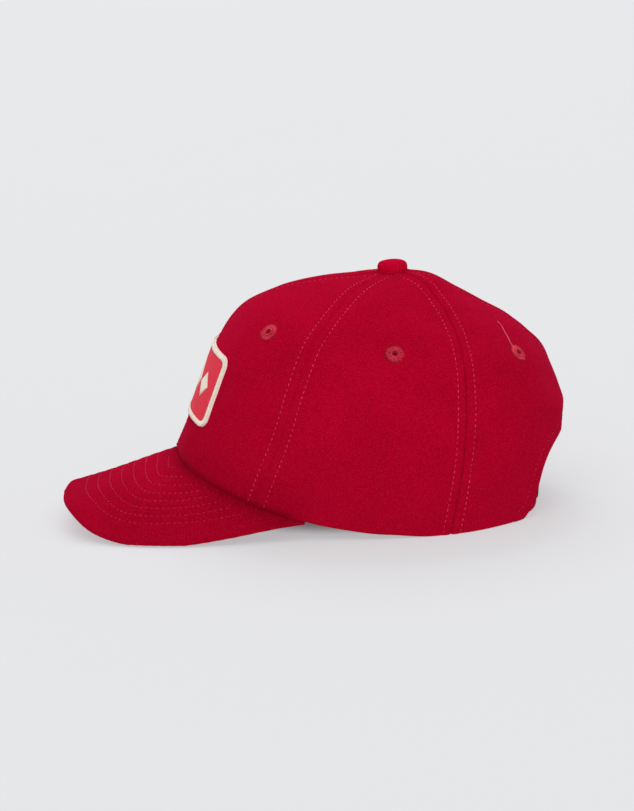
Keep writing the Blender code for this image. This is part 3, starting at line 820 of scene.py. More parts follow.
def back_lattice():
    """As plain_lattice for a back panel, in two fields that leave the opening free."""
    low = np.linspace(0, SHOULDER, LOW_ROWS + 1)[:-1]
    rise = np.linspace(0, 1, PANEL_ROWS - LOW_ROWS + 1)
    level = np.concatenate([low, SHOULDER + (TOP - SHOULDER) * rise])
    middle = np.full_like(level, math.pi)
    dividing = dividing_angle(level)
    seam = seam_angle("back_seam", level)
    left, left_width = spread_columns(seam, dividing, level, True, False, ARCH_SIDE_COLUMNS)
    over, over_width = spread_columns(dividing, middle, level, False, True, OVER_ARCH_COLUMNS)
    shoulder = over[LOW_ROWS]
    shares = (shoulder - shoulder[0]) / (math.pi - shoulder[0])
    foot = np.array([SHOULDER] + [over_arch_level(share) for share in shares[1:]])
    over_low = foot * (low / SHOULDER)[:, None]
    over_level = np.concatenate([over_low, foot + (TOP - foot) * rise[:, None]])
    line = dividing_angle(over_level)
    even = line + shares * (math.pi - line)
    wanted = []
    for place in range(len(shares)):
        spread = spread_columns(
            line[:, place], middle, over_level[:, place], False, True, OVER_ARCH_COLUMNS
        )
        wanted.append(spread[0][:, place])
    fade = np.concatenate([np.zeros(len(low)), np.minimum(1, rise * 6)])[:, None]
    over = even + (np.stack(wanted, axis=1) - even) * fade
    angle = np.concatenate([left, over[:, 1:]], axis=1)
    side_level = np.repeat(level[:, None], left.shape[1], axis=1)
    levels = np.concatenate([side_level, over_level[:, 1:]], axis=1)
    widths = np.concatenate([left_width, left_width[:, -1:] + over_width[:, 1:]], axis=1)
    present = np.ones(angle.shape, dtype=bool)
    present[:LOW_ROWS, left.shape[1] :] = False
    return angle, levels, widths, present


def free_edge_directions(points, faces, free):
    """For each point on a free edge, the direction that leaves the cloth in its own plane."""
    total = np.zeros_like(points)
    middles = {}
    for face in faces:
        middle = points[list(face)].mean(axis=0)
        for edge in zip(face, face[1:] + face[:1]):
            middles[edge] = middle
    for here, there in boundary_edges(faces):
        if not (free[here] and free[there]):
            continue
        edge = points[there] - points[here]
        away = (points[here] + points[there]) / 2 - middles[(here, there)]
        away = unit(away - edge * (away @ edge) / max(edge @ edge, 1e-15))
        total[here] += away
        total[there] += away
    return unit(total) * (np.linalg.norm(total, axis=1, keepdims=True) > 0)


def over_peak(angle, fade):
    """1 where the crown stands on the peak, 0 past the peak's end, over a fade in degrees."""
    return np.clip((math.radians(PEAK_END_ANGLE) - angle) / math.radians(fade), 0, 1)


def fold_shadow(points, shadows):
    """How much painted shade darkens the wool's colour at each point beside the fold between crown
    and peak.
    """
    angles = np.radians(np.linspace(-FOLD_END_ANGLE, FOLD_END_ANGLE, 400))
    away = distance_to(points, crown_point(angles, np.zeros_like(angles)))
    return sum(shadow.share * hollow(away, shadow.reach) for shadow in shadows)


def seam_laps(base):
    """How far the wall's inside reaches past its seams, so that no light comes through them."""
    laps = np.zeros_like(base)
    laps[:, 0] = unit(base[:, 0] - base[:, 1]) * SEAM_LAP
    laps[:, -1] = unit(base[:, -1] - base[:, -2]) * SEAM_LAP
    return laps


def rim_drop(angle):
    """How far the crown's cloth reaches down past its rim to lie on the peak."""
    end = math.radians(PEAK_END_ANGLE)
    inner, outer = peak_edges(np.clip(angle / end, 0, 1))
    reach = np.linalg.norm((outer - inner)[..., :2], axis=-1)
    slope = np.clip((inner[..., 2] - outer[..., 2]) / reach, 0, RIM_STEEPEST)
    return (GAP + RIM_PRESS + slope * CLOTH / 2) * over_peak(angle, 1.5)


def make_panel(kind, hand, side, material):
    """One crown panel: a wall of cloth with its seams and hem. Its eyelet hole is cut by
    punch_hole.
    """
    on_peak = kind != "back"
    lattice = plain_lattice(*PANEL_SEAMS[kind]) if on_peak else back_lattice()
    angle, level, across, present = lattice
    base = crown_point(angle, level)
    points = base[present]
    turned = angle[present]
    up = run_length(base)[present]
    outward = crown_outward(angle, level)[present]
    height = crown_relief(points, side)
    if on_peak:
        rolled = np.clip(1 - up / RIM_ROLL, 0, 1) ** 2
        height = height - RIM_TUCK * rolled * over_peak(turned, 5)
    faces = lattice_faces(present)
    at_rim = level[present] <= 0
    free = at_rim | (distance_to(points, ARCH_POINTS) < 0.05 * MM)
    bulge = free_edge_directions(points, faces, free) * HEM_ROUND
    outer = points + outward * height[:, None] - bulge
    inner = outer - outward * CLOTH + seam_laps(base)[present]
    if on_peak:
        inner[at_rim, 2] = np.maximum(inner[at_rim, 2], outer[at_rim, 2] - RIM_STEP)
        drop = rim_drop(turned) * np.clip(1 - up / RIM_DROP_REACH, 0, 1) ** 2
        outer[:, 2] -= drop
        inner[:, 2] -= drop
    uvs = np.stack([across[present], up], axis=1)
    shell, faces, uvs = walled(outer, inner, faces, bulge, uvs)
    # Painted shade: how much the wool's colour darkens beside the fold
    fold = fold_shadow(shell, CROWN_SHADOWS)
    shell = mirrored(shell, side)
    name = f"{kind}_{hand}"
    nodes = [f"{name}_panel"]
    return add_piece(f"{name}_cloth", shell, faces, material, "red_wool", nodes, uvs, fold)


def run_modifiers(obj):
    """Turns a piece's modifiers into its own mesh."""
    graph = bpy.context.evaluated_depsgraph_get()
    mesh = bpy.data.meshes.new_from_object(obj.evaluated_get(graph), depsgraph=graph)
    obj.modifiers.clear()
    old = obj.data
    obj.data = mesh
    mesh.name = old.name
    bpy.data.meshes.remove(old)


def punch_hole(obj, eyelet, side):
    """Cuts the eyelet's hole through the cloth."""
    origin, sideways, upward, outward = local_frame(*eyelet_place(eyelet))
    spokes = circle(28) @ np.stack([sideways, upward]) * EYELET_CUT
    ends = [origin + outward * depth + spokes for depth in (-4 * CLOTH, 3 * CLOTH)]
    faces = capped_faces(2, len(spokes))
    mesh = new_mesh("hole", mirrored(np.concatenate(ends), side), faces)
    close_up(mesh)
    cutter = new_object("hole", mesh)
    modifier = obj.modifiers.new("hole", "BOOLEAN")
    modifier.operation = "DIFFERENCE"
    modifier.object = cutter
    modifier.solver = "EXACT"
    run_modifiers(obj)
    bpy.data.objects.remove(cutter, do_unlink=True)
    bpy.data.meshes.remove(mesh)


# ---------------------------------------------------------------- laid threads


def thread_tree(material):
    """Lays threads along a path: one at each step, turned and sized by the path's attributes."""
    tree = bpy.data.node_groups.new("laid threads", "GeometryNodeTree")
    face = tree.interface
    face.new_socket("Path", in_out="INPUT", socket_type="NodeSocketGeometry")
    for name in ("Spacing", "Thickness", "Height", "Unevenness"):
        face.new_socket(name, in_out="INPUT", socket_type="NodeSocketFloat")
    face.new_socket("Seed", in_out="INPUT", socket_type="NodeSocketInt")
    face.new_socket("Threads", in_out="OUTPUT", socket_type="NodeSocketGeometry")

    def node(kind, settings=(), links=()):
        """Adds a node: its own settings, then its sockets. Gives its outputs."""
        made = tree.nodes.new(kind)
        for key, value in dict(settings).items():
            setattr(made, key, value)
        for socket, value in dict(links).items():
            if isinstance(value, bpy.types.NodeSocket):
                tree.links.new(value, made.inputs[socket])
            else:
                made.inputs[socket].default_value = value
        return made.outputs

    given = node("NodeGroupInput")
    curve = node("GeometryNodeMeshToCurve", links={"Mesh": given["Path"]})[0]
    steps = {"Curve": curve, "Length": given["Spacing"]}
    stepped = node("GeometryNodeResampleCurve", {"mode": "LENGTH"}, steps)[0]

    def stored(name, kind="FLOAT_VECTOR"):
        return node("GeometryNodeInputNamedAttribute", {"data_type": kind}, {"Name": name})[0]

    def worked_out(operation, one, two, second=1):
        links = {0: one, second: two}
        return node("ShaderNodeVectorMath", {"operation": operation}, links)[0]

    def uneven(shift):
        """A random vector for each thread, as long as the unevenness allows."""
        seed = node("ShaderNodeMath", {"operation": "ADD"}, {0: given["Seed"], 1: shift})[0]
        limits = {0: (-1.0, -1.0, -1.0), 1: (1.0, 1.0, 1.0), "Seed": seed}
        chance = node("FunctionNodeRandomValue", {"data_type": "FLOAT_VECTOR"}, limits)[0]
        return worked_out("SCALE", chance, given["Unevenness"], "Scale")

    along = worked_out("ADD", stored("along"), uneven(0))
    first = node("FunctionNodeAlignRotationToVector", {"axis": "X"}, {"Vector": along})[0]
    turned = node(
        "FunctionNodeAlignRotationToVector",
        {"axis": "Z", "pivot_axis": "X"},
        {"Rotation": first, "Vector": stored("outward")},
    )[0]
    sizes = {0: stored("reach", "FLOAT"), 1: given["Thickness"], 2: given["Height"]}
    size = node("ShaderNodeCombineXYZ", links=sizes)[0]
    size = worked_out("MULTIPLY", size, worked_out("ADD", uneven(7), (1.0, 1.0, 1.0)))
    ball = {"Segments": 6, "Rings": 6, "Radius": 0.5}
    bead = node("GeometryNodeMeshUVSphere", links=ball)[0]
    bead = node("GeometryNodeSetShadeSmooth", links={0: bead})[0]
    laid = node(
        "GeometryNodeInstanceOnPoints",
        links={"Points": stepped, "Instance": bead, "Rotation": turned, "Scale": size},
    )[0]
    real = node("GeometryNodeRealizeInstances", links={0: laid})[0]
    look = {"Geometry": real, "Material": material}
    done = node("GeometryNodeSetMaterial", links=look)[0]
    node("NodeGroupOutput", links={0: done})
    return tree


Path = namedtuple("Path", "points along outward reach closed")


def lay_threads(name, paths, laid, seed, material):
    """One piece of many threads along its paths."""
    points = np.concatenate([path.points for path in paths])
    edges = []
    start = 0
    for path in paths:
        end = start + len(path.points)
        edges += [(place, place + 1) for place in range(start, end - 1)]
        if path.closed:
            edges.append((end - 1, start))
        start = end
    mesh = new_mesh(name, points, [], edges)
    for key in ("along", "outward"):
        values = np.concatenate([getattr(path, key) for path in paths]).astype(np.float32)
        layer = mesh.attributes.new(key, "FLOAT_VECTOR", "POINT")
        layer.data.foreach_set("vector", values.ravel())
    reach = np.concatenate([np.broadcast_to(path.reach, len(path.points)) for path in paths])
    layer = mesh.attributes.new("reach", "FLOAT", "POINT")
    layer.data.foreach_set("value", reach.astype(np.float32))
    obj = new_object(name, mesh)
    modifier = obj.modifiers.new("threads", "NODES")
    modifier.node_group = thread_tree(material)
    values = {"Seed": seed}
    values.update((key.title(), value) for key, value in laid._asdict().items())
    for socket in modifier.node_group.interface.items_tree:
        if socket.name in values:
            modifier[socket.identifier] = values[socket.name]
    run_modifiers(obj)
    seat_piece(obj)


def directions_along(points, closed=False):
    if closed:
        return unit(np.roll(points, -1, axis=0) - np.roll(points, 1, axis=0))
    return unit(np.gradient(points, axis=0))


def stitch_path(points, outward, laid):
    """Path of stitches that lie along it, with a little room between them."""
    return Path(points, directions_along(points), outward, STITCH_SHARE * laid.spacing, False)


def beside_seam(seam, other, side):
    """Row of stitches beside a seam, on the panel that lies towards another seam."""
    low = (over_arch_level(1.0) if seam == "back middle" else 0) + STITCH_START_LEVEL
    levels = np.linspace(low, button_level(BUTTON_RADIUS), 220)
    lines, away = distances_across(seam_angle(seam, levels), seam_angle(other, levels), levels)
    wide = away[:, -1] > 2 * STITCH_LINE
    angles = [np.interp(STITCH_LINE, gone, line) for gone, line in zip(away[wide], lines[wide])]
    levels = levels[wide]
    sunk = STITCH_SINK * np.clip((levels - SINK_START_LEVEL) / SINK_LEVELS, 0, 1)
    points, outward = on_cloth(np.array(angles), levels, side, STITCH_LIFT - sunk)
    return stitch_path(points, outward, SEAM_LAID)


def make_seam_stitches(name, pairs, seed, thread):
    """Rows of stitches beside seams, each on the panel that lies towards another seam."""
    paths = [beside_seam(*pair, side) for side in (1, -1) for pair in pairs]
    lay_threads(name, paths, SEAM_LAID, seed, thread)


def arch_stitch_path(side):
    """Stitches that hold the hem of the opening, along the arch at the hem's depth."""
    flat = ARCH_POINTS[4:, [0, 2]]
    directions = np.gradient(flat, axis=0)
    normals = unit(np.stack([directions[:, 1], -directions[:, 0]], axis=1))
    normals *= np.sign((normals * flat * (1, 0.8)).sum(axis=1))[:, None]
    targets = flat + normals * ARCH_HEM
    targets[:, 0] = np.maximum(targets[:, 0], 0)
    across_and_up = np.eye(3)[:, [0, 2]]
    angles, levels = find_on_crown(targets, across_and_up, *ARCH_PLACES[4:].T, math.pi)
    points, outward = on_cloth(angles, levels, side, ARCH_STITCH_LIFT)
    keep = np.abs(points[:, 0]) > STITCH_LINE + 1 * MM
    return stitch_path(points[keep], outward[keep], ARCH_LAID)


# ---------------------------------------------------------------- peak


def peak_thickness(place):
    return PEAK_THICK + (PEAK_END_THICK - PEAK_THICK) * np.abs(place) ** 4


def peak_edges(place):
    """Inner and outer edge of the peak's underside at places from -1 to 1 across it."""
    end_angle = math.radians(PEAK_END_ANGLE)
    share = np.abs(place)
    thick = peak_thickness(place)
    level = np.zeros_like(place)
    inner = crown_point(place * end_angle, level)
    inward = crown_outward(place * end_angle, level) * CLOTH
    inner = inner - inward * ON_FLOOR
    inner[..., 2] -= GAP + thick
    end = crown_point(np.array(end_angle), np.array(0.0))
    turn = share * math.pi / 2
    power = 2 / PEAK_SQUARENESS
    swell = PEAK_SWELL * np.sin(math.pi * share) ** 2
    half_width = end[0] + PEAK_END_WIDTH
    tip = AXIS_Y - FRONT_REACH - PEAK_REACH
    across = np.sign(place) * (half_width * np.sin(turn) ** power + swell)
    along = end[1] - (end[1] - tip) * np.maximum(np.cos(turn), 0) ** power
    places = column(PEAK_EDGE, "place")
    tip_share = smooth_between(places, column(PEAK_EDGE, "tip_share"), share)
    end_share = smooth_between(places, column(PEAK_EDGE, "end_share"), share)
    height = np.maximum(PEAK_TIP_RISE * tip_share + end[2] * end_share, 0)
    return inner, np.stack([across, along, height], axis=-1)


def peak_sheet(places, outs):
    """Points midway through the peak's thickness, and the directions up out of it."""
    place, out = np.meshgrid(places, outs, indexing="ij")
    inner, outer = peak_edges(place)
    thick = peak_thickness(place)
    points = inner + (outer - inner) * out[..., None]
    points[..., 2] += thick / 2
    by_place = np.gradient(points, axis=0)
    by_out = np.gradient(points, axis=1)
    upward = unit(np.cross(by_place, by_out))
    upward = upward * np.sign(upward[..., 2:])
    return points, upward, thick


def peak_edge_line():
    """Points midway through the peak's thickness, all along its outer edge."""
    return peak_sheet(PEAK_EDGE_PLACES, np.array([0.999, 1.0]))[0][:, 1]


def peak_rows(place):
    """Distances of the rows of stitches from the peak's edge, one column for each row."""
    share = smooth(1 - np.abs(place) / PEAK_SIDE_PLACE)
    step = PEAK_SIDE_STEP + (PEAK_MIDDLE_STEP - PEAK_SIDE_STEP) * share
    return PEAK_FIRST_ROW + step[..., None] * np.arange(PEAK_ROWS)


def peak_relief(distance, place):
    """Soft swell of the cover between its rows of stitches."""
    gaps = distance[..., None] - peak_rows(place)
    edge = np.clip(1 - distance / PEAK_EDGE_SWELL_WIDTH, 0, 1)
    swell = PEAK_EDGE_SWELL * edge * (1 - edge) * 4
    return swell - PEAK_PUFF * hollow(gaps, PEAK_PUFF_WIDTH).sum(axis=-1)


def make_peak(material):
    """Stiff peak, whose cover dips at every row of stitches and is rounded at its edge."""
    places = np.linspace(-1, 1, 241)
    outs = np.concatenate([np.linspace(0, 0.94, 90), np.linspace(0.95, 1, 8)])
    points, upward, thick = peak_sheet(places, outs)
    edge_line = peak_edge_line()
    distance = distance_to(points, edge_line)
    relief = peak_relief(distance, np.repeat(places[:, None], len(outs), axis=1))[..., None]
    wave = (unevenness(points) * PEAK_WAVE_SHARE)[..., None]
    rounding = np.minimum(1, np.sqrt(np.maximum(distance, 0) / PEAK_ROUNDING) * 0.75 + 0.25)
    half = (thick / 2 * rounding)[..., None]
    over = points + upward * (half + relief + wave)
    under = points - upward * (half + relief * PEAK_UNDER_SHARE)
    under[..., 2] = np.maximum(under[..., 2], PEAK_FLOOR_GAP)
    faces = lattice_faces(np.ones(distance.shape, dtype=bool))
    free = np.arange(distance.size) % len(outs) == len(outs) - 1
    bulge = free_edge_directions(points.reshape(-1, 3), faces, free) * PEAK_EDGE_ROUND
    around = np.interp(places, PEAK_EDGE_PLACES, run_length(edge_line))
    uvs = np.stack([np.repeat(around, len(outs)), distance.ravel()], axis=1)
    shell, faces, uvs = walled(over.reshape(-1, 3), under.reshape(-1, 3), faces, bulge, uvs)
    shell[:, 2] = np.maximum(shell[:, 2], 0)
    # Painted shade: how much the wool's colour darkens beside the fold
    fold = fold_shadow(shell, PEAK_SHADOWS)
    add_piece("peak_cover", shell, faces, material, "red_wool", ["peak"], uvs, fold)


def peak_stitch_paths():
    """Rows of stitches on both faces of the peak, each at its own distance from the edge."""
    places = np.linspace(-1, 1, 401)
    outs = np.linspace(0, 1, 160)
    points, upward, thick = peak_sheet(places, outs)
    distance = distance_to(points, peak_edge_line())
    rim = crown_point(np.radians(np.linspace(-75, 75, 600)), np.zeros(600))
    rim_gap = distance_to(points * ON_FLOOR, rim * ON_FLOOR)

    def between(values, out):
        return [np.interp(out, outs, values[:, axis]) for axis in range(3)]

    paths = []
    for row in peak_rows(places).T:
        kept = []
        line = []
        normal = []
        for index, gaps in enumerate(distance):
            if gaps[0] <= row[index]:
                continue
            out = float(np.interp(-row[index], -gaps, outs))
            if np.interp(out, outs, rim_gap[index]) < PEAK_ROW_CLEAR:
                continue
            kept.append(index)
            line.append(between(points[index], out))
            normal.append(between(upward[index], out))
        if len(kept) < 8:
            continue
        line = np.array(line)
        normal = unit(np.array(normal))
        half = thick[kept, :1] / 2
        lift = peak_relief(row[kept], places[kept])[:, None]
        wave = (unevenness(line) * PEAK_WAVE_SHARE)[:, None]
        under = line - normal * (half + lift * PEAK_UNDER_SHARE)
        paths.append(stitch_path(line + normal * (half + lift + wave), normal, PEAK_LAID))
        paths.append(stitch_path(under, -normal, PEAK_LAID))
    return paths


# ---------------------------------------------------------------- button and eyelets


def make_button(material):
    """Covered button: cloth drawn tight over a dome, with its edge turned under."""
    low = CROWN_HEIGHT - BUTTON_SINK
    rise = BUTTON_HEIGHT + BUTTON_SINK
    sides = BUTTON_SIDES
    turns = np.arange(sides) * 2 * math.pi / sides
    rings = []
    for reach, up in BUTTON_PROFILE[:-1]:
        pucker = 1 + 0.012 * np.sin(turns * 9 + 1.0) * (up < 0.2) + 0.006 * np.sin(turns * 5)
        radius = BUTTON_RADIUS * reach * pucker
        height = low + rise * up + 0.12 * MM * np.sin(turns * 3 + 0.5) * reach
        ring = [radius * np.sin(turns), AXIS_Y - radius * np.cos(turns), height]
        rings.append(np.stack(ring, axis=1))
    faces = ring_faces(len(rings), sides)
    last = (len(rings) - 1) * sides
    for place in range(sides):
        faces.append((last + place, last + (place + 1) % sides, last + sides))
    faces.append(tuple(range(sides)))
    points = np.concatenate([*rings, [(0, AXIS_Y, low + rise * BUTTON_PROFILE[-1][1])]])
    uvs = points[:, :2] - np.array([0, AXIS_Y])
    add_piece("covered_button", points, faces, material, "red_wool", ["button"], uvs)


def eyelet_rise(eyelet, side):
    """How far the cloth stands off the plain crown where an eyelet is sewn."""
    centre = crown_point(*eyelet_place(eyelet))
    return float(unevenness(mirrored(centre, side)) + middle_swell(centre))


def round_eyelet(eyelet, side, count, radius, lift):
    """Points in a ring round an eyelet's middle, lifted off the cloth."""
    lift = lift + eyelet_rise(eyelet, side)
    return mirrored(drape(eyelet_place(eyelet), circle(count) * radius, lift), side)


def eyelet_outward(eyelet, side, count):
    outward = mirrored(local_frame(*eyelet_place(eyelet))[3], side)
    return np.repeat(outward[None, :], count, axis=0)


def make_eyelet(eyelet, hand, side, base, thread, seed):
    """Sewn eyelet: radial threads over a padded ring, with a firm lip round its hole."""
    name = f"{eyelet.panel}_{hand}_eyelet"
    rings = [round_eyelet(eyelet, side, 48, radius, lift) for radius, lift in EYELET_PROFILE]
    # The padded ring is dark: partly its own thread, partly painted shade between and round the
    # radial threads
    add_loop(f"{name}_ring", np.stack(rings, axis=1), base, "eyelet_thread", [name])
    count = EYELET_THREADS
    line = round_eyelet(eyelet, side, count, EYELET_MIDDLE, 0.10 * MM)
    inside = round_eyelet(eyelet, side, count, EYELET_THREAD_START, 0.30 * MM)
    outside = round_eyelet(eyelet, side, count, EYELET_RADIUS, -0.10 * MM)
    outward = eyelet_outward(eyelet, side, count)
    radial = Path(line, unit(outside - inside), outward, EYELET_THREAD_LENGTH, True)
    lay_threads(f"{name}_threads", [radial], EYELET_LAID, seed, thread)


def make_lip_threads(thread):
    """Short threads wound over the lip of every hole."""
    paths = []
    for side in (1, -1):
        for eyelet in EYELETS:
            line = round_eyelet(eyelet, side, 40, EYELET_LIP, 0.34 * MM)
            outward = eyelet_outward(eyelet, side, len(line))
            along = directions_along(line, True)
            twist = unit(LIP_SLANT * along + np.cross(outward, along))
            paths.append(Path(line, twist, outward, LIP_THREAD_LENGTH, True))
    lay_threads("eyelet_lips", paths, LIP_LAID, 31, thread)


def tube(line, radius, sides=6):
    """Points and faces of a closed tube along a line, finer towards its far end."""
    along = directions_along(line)
    first = unit(np.cross(along, np.array([0.3, 0.2, 1.0])))
    spokes = circle(sides) @ np.stack([first, np.cross(along, first)], axis=1)
    thin = radius * np.linspace(1, TAIL_END_SHARE, len(line))[:, None, None]
    points = (line[:, None] + spokes * thin).reshape(-1, 3)
    return points, capped_faces(len(line), sides)


def make_loose_thread(eyelet, thread):
    """Loose end of thread that lies on the cloth beside an eyelet."""
    given = np.array(LOOSE_THREAD) * MM
    places = np.linspace(0, 1, len(given))
    at = np.linspace(0, 1, 61)
    offsets = np.stack([smooth_between(places, axis, at) for axis in given.T], axis=1)
    angles, levels = lay_on_crown(eyelet_place(eyelet), offsets)
    lift = TAIL_LIFT + TAIL_WAVE * np.sin(at * math.pi * 3) ** 2
    line, _ = on_cloth(angles, levels, 1, lift)
    add_piece("back_left_eyelet_tail", *tube(line, TAIL_RADIUS), thread, "eyelet_thread")


# ---------------------------------------------------------------- patch


def rounded_corners(half_size, corner, steps):
    """Turns and points along each corner of a rounded rectangle, one corner after the other."""
    for quarter, signs in enumerate(QUARTERS):
        turns = (quarter + np.linspace(0, 1, steps + 1)) * math.pi / 2
        centre = np.array(signs) * (half_size - corner)
        yield turns, centre + corner * np.stack([np.cos(turns), np.sin(turns)], axis=1)


def patch_outline(margin):
    """Outline of the patch, drawn in by a margin."""
    half_size = np.array([PATCH_HALF_WIDTH, PATCH_HALF_HEIGHT]) - margin
    corner = PATCH_CORNER - margin
    lengths = 2 * (half_size - corner)
    outline = []
    corners = rounded_corners(half_size, corner, PATCH_CORNER_STEPS)
    for quarter, (turns, points) in enumerate(corners):
        onward = np.array([-math.sin(turns[-1]), math.cos(turns[-1])])
        count = PATCH_SIDE_STEPS[quarter % 2]
        gone = np.arange(1, count)[:, None] / count * lengths[quarter % 2]
        outline += [points, points[-1] + onward * gone]
    return np.concatenate(outline)


def make_patch_field(material):
    """Field of the patch: a plate of close embroidery that follows the two front panels."""
    outline = patch_outline(PATCH_BORDER_WIDTH - PATCH_TUCK)
    shares = np.linspace(1, 0.04, 14)
    flat = np.concatenate([outline * share for share in shares])
    count = len(outline)
    half = len(flat)
    sheets = []
    faces = []
    for first, lift in ((0, 0.05 * MM), (half, PATCH_TOP - 0.1 * MM)):
        sheets.append(drape(PATCH_CENTRE, flat, lift))
        faces += ring_faces(len(shares), count, first)
        faces.append(tuple(range(first + half - count, first + half)))
    for place in range(count):
        beside = (place + 1) % count
        faces.append((place, beside, half + beside, half + place))
    points = np.concatenate(sheets)
    uvs = np.concatenate([flat, flat])
    add_piece("patch_field", points, faces, material, "patch_twill", ["patch"], uvs)


def make_patch_edge(cream):
    """Thick overlocked border: a rounded band under close threads laid across it."""

    def line_at(inward, up):
        outline = patch_outline(inward * PATCH_BORDER_WIDTH)
        return lay_out(PATCH_CENTRE, outline, up * PATCH_BORDER_THICK)

    sections = np.stack([line_at(*corner)[0] for corner in BORDER_PROFILE], axis=1)
    add_loop("patch_edge", sections, cream, "border_thread", ["patch_border"])
    across = line_at(0, 0.9)[0] - line_at(1, 0.9)[0]
    line, outward = line_at(0.5, 0.80)
    path = Path(line, unit(across), outward, PATCH_THREAD_LENGTH, True)
    lay_threads("patch_edge_threads", [path], BORDER_LAID, 41, cream)


def make_ornament(cream):
    """Three plain lozenges in satin stitch across the middle of the field, each over a low pad."""
    corners = np.array([(1, 0), (0, 1), (-1, 0), (0, -1), (1, 0)])
    sides = [np.linspace(start, end, 13)[:-1] for start, end in zip(corners, corners[1:])]
    around = np.concatenate(sides)
    top = PATCH_TOP + ORNAMENT_PAD
    paths = []
    rings = []
    faces = []
    for lozenge in LOZENGES:
        centre = np.array([lozenge.centre, 0])
        outline = around * np.array([lozenge.half_width, lozenge.half_height])
        faces += capped_faces(len(LOZENGE_RINGS) + 1, len(outline), len(rings) * len(outline))
        rings.append(drape(PATCH_CENTRE, centre + outline, PATCH_TOP - 0.2 * MM))
        for share in LOZENGE_RINGS:
            lift = top if share < 1 else PATCH_TOP
            rings.append(drape(PATCH_CENTRE, centre + outline * share, lift))
        length = lozenge.half_width - ORNAMENT_INSET
        across = np.linspace(-length, length, 90)
        tall = 2 * lozenge.half_height * (1 - np.abs(across) / lozenge.half_width)
        offsets = np.stack([lozenge.centre + across, np.zeros_like(across)], axis=1)
        line, outward = lay_out(PATCH_CENTRE, offsets, top)
        upper = drape(PATCH_CENTRE, offsets + np.array([0, 1 * MM]), top)
        paths.append(Path(line, unit(upper - line), outward, tall, False))
    add_piece("patch_ornament_pad", np.concatenate(rings), faces, cream, "border_thread")
    lay_threads("patch_ornament", paths, ORNAMENT_LAID, 51, cream)


# ---------------------------------------------------------------- strap


def strap_path():
    """Middle line of the strap on the floor, and the directions out of it."""
    angles = np.linspace(math.pi / 2, 3 * math.pi / 2, 1441)
    levels = np.zeros_like(angles)
    outward = unit(crown_outward(angles, levels) * ON_FLOOR)
    line = crown_point(angles, levels) - outward * (CLOTH + GAP + STRAP_THICK / 2)
    reached = np.flatnonzero(np.abs(line[:, 0]) <= STRAP_HALF_LENGTH)
    chosen = reached[np.linspace(0, len(reached) - 1, STRAP_STEPS).astype(int)]
    return line[chosen] * ON_FLOOR, outward[chosen]


def strap_place(line, outward, away, up):
    """Points on the strap, whose free middle leans inward towards its lower edge."""
    free = smooth(np.interp(np.abs(line[:, 0]), STRAP_LEAN_FADE, (1, 0)))
    lean = STRAP_LEAN * free * (1 - (up - STRAP_FOOT) / STRAP_WIDTH)
    return line + outward * (away - lean)[:, None] + np.array([0, 0, up])


def make_strap(material, thread):
    """Doubled strap with rounded edges and a row of stitches along each."""
    line, outward = strap_path()
    half = STRAP_THICK / 2
    front = []
    for share in np.linspace(0, 1, 15):
        edge = min(share, 1 - share) * STRAP_WIDTH
        swell = STRAP_SWELL * math.sin(math.pi * share)
        dip = STRAP_DIP * hollow(edge - STRAP_ROW, STITCH_DIP_WIDTH)
        up = STRAP_FOOT + STRAP_ROUND + (STRAP_WIDTH - 2 * STRAP_ROUND) * share
        front.append((half + swell - dip, up))
    top = []
    foot = []
    for turn in np.radians((30, 60, 90, 120, 150)):
        rounded = STRAP_ROUND * (1 - math.sin(turn))
        top.append((half * math.cos(turn), STRAP_FOOT + STRAP_WIDTH - rounded))
        foot.append((-half * math.cos(turn), STRAP_FOOT + rounded))
    loop = front + top + [(-away, up) for away, up in reversed(front)] + foot
    rings = [strap_place(line, outward, away, up) for away, up in loop]
    points = np.stack(rings, axis=1).reshape(-1, 3)
    faces = capped_faces(len(line), len(loop))
    ups = np.tile([up for _, up in loop], len(line))
    uvs = np.stack([np.repeat(run_length(line), len(loop)), ups], axis=1)
    add_piece("strap_cloth", points, faces, material, "red_wool", ["back_strap"], uvs)
    paths = []
    for out_side in (1, -1):
        for up in (STRAP_FOOT + STRAP_ROW, STRAP_FOOT + STRAP_WIDTH - STRAP_ROW):
            row = strap_place(line, outward, out_side * (half - STRAP_STITCH_SINK), up)
            paths.append(stitch_path(row, outward * out_side, STRAP_LAID))
    lay_threads("strap_stitches", paths, STRAP_LAID, 61, thread)


def make_slide(metal):
    """Slide: a flat band bent round the strap, that leans as the strap does."""
    depth = strap_path()[0][STRAP_STEPS // 2, 1]
    middle = STRAP_FOOT + STRAP_WIDTH / 2
    bar = SLIDE_BAR / 2
    half_size = np.array([STRAP_THICK, STRAP_WIDTH]) / 2 + GAP + bar
    widths, thicks = circle(20).T
    widths = oval_power(widths, 0.35) * SLIDE_HALF_WIDTH
    thicks = oval_power(thicks, 0.8) * bar
    sections = []
    for turns, points in rounded_corners(half_size, SLIDE_CORNER, 6):
        for turn, (out, up) in zip(turns, points):
            height = up + thicks * math.sin(turn)
            lean = STRAP_LEAN * (0.5 - height / STRAP_WIDTH)
            ahead = depth + out + thicks * math.cos(turn) - lean
            sections.append(np.stack([widths, ahead, middle + height], axis=1))
    add_loop("slide_frame", np.array(sections), metal, "dark_metal", ["strap_slide"])


# ---------------------------------------------------------------- materials


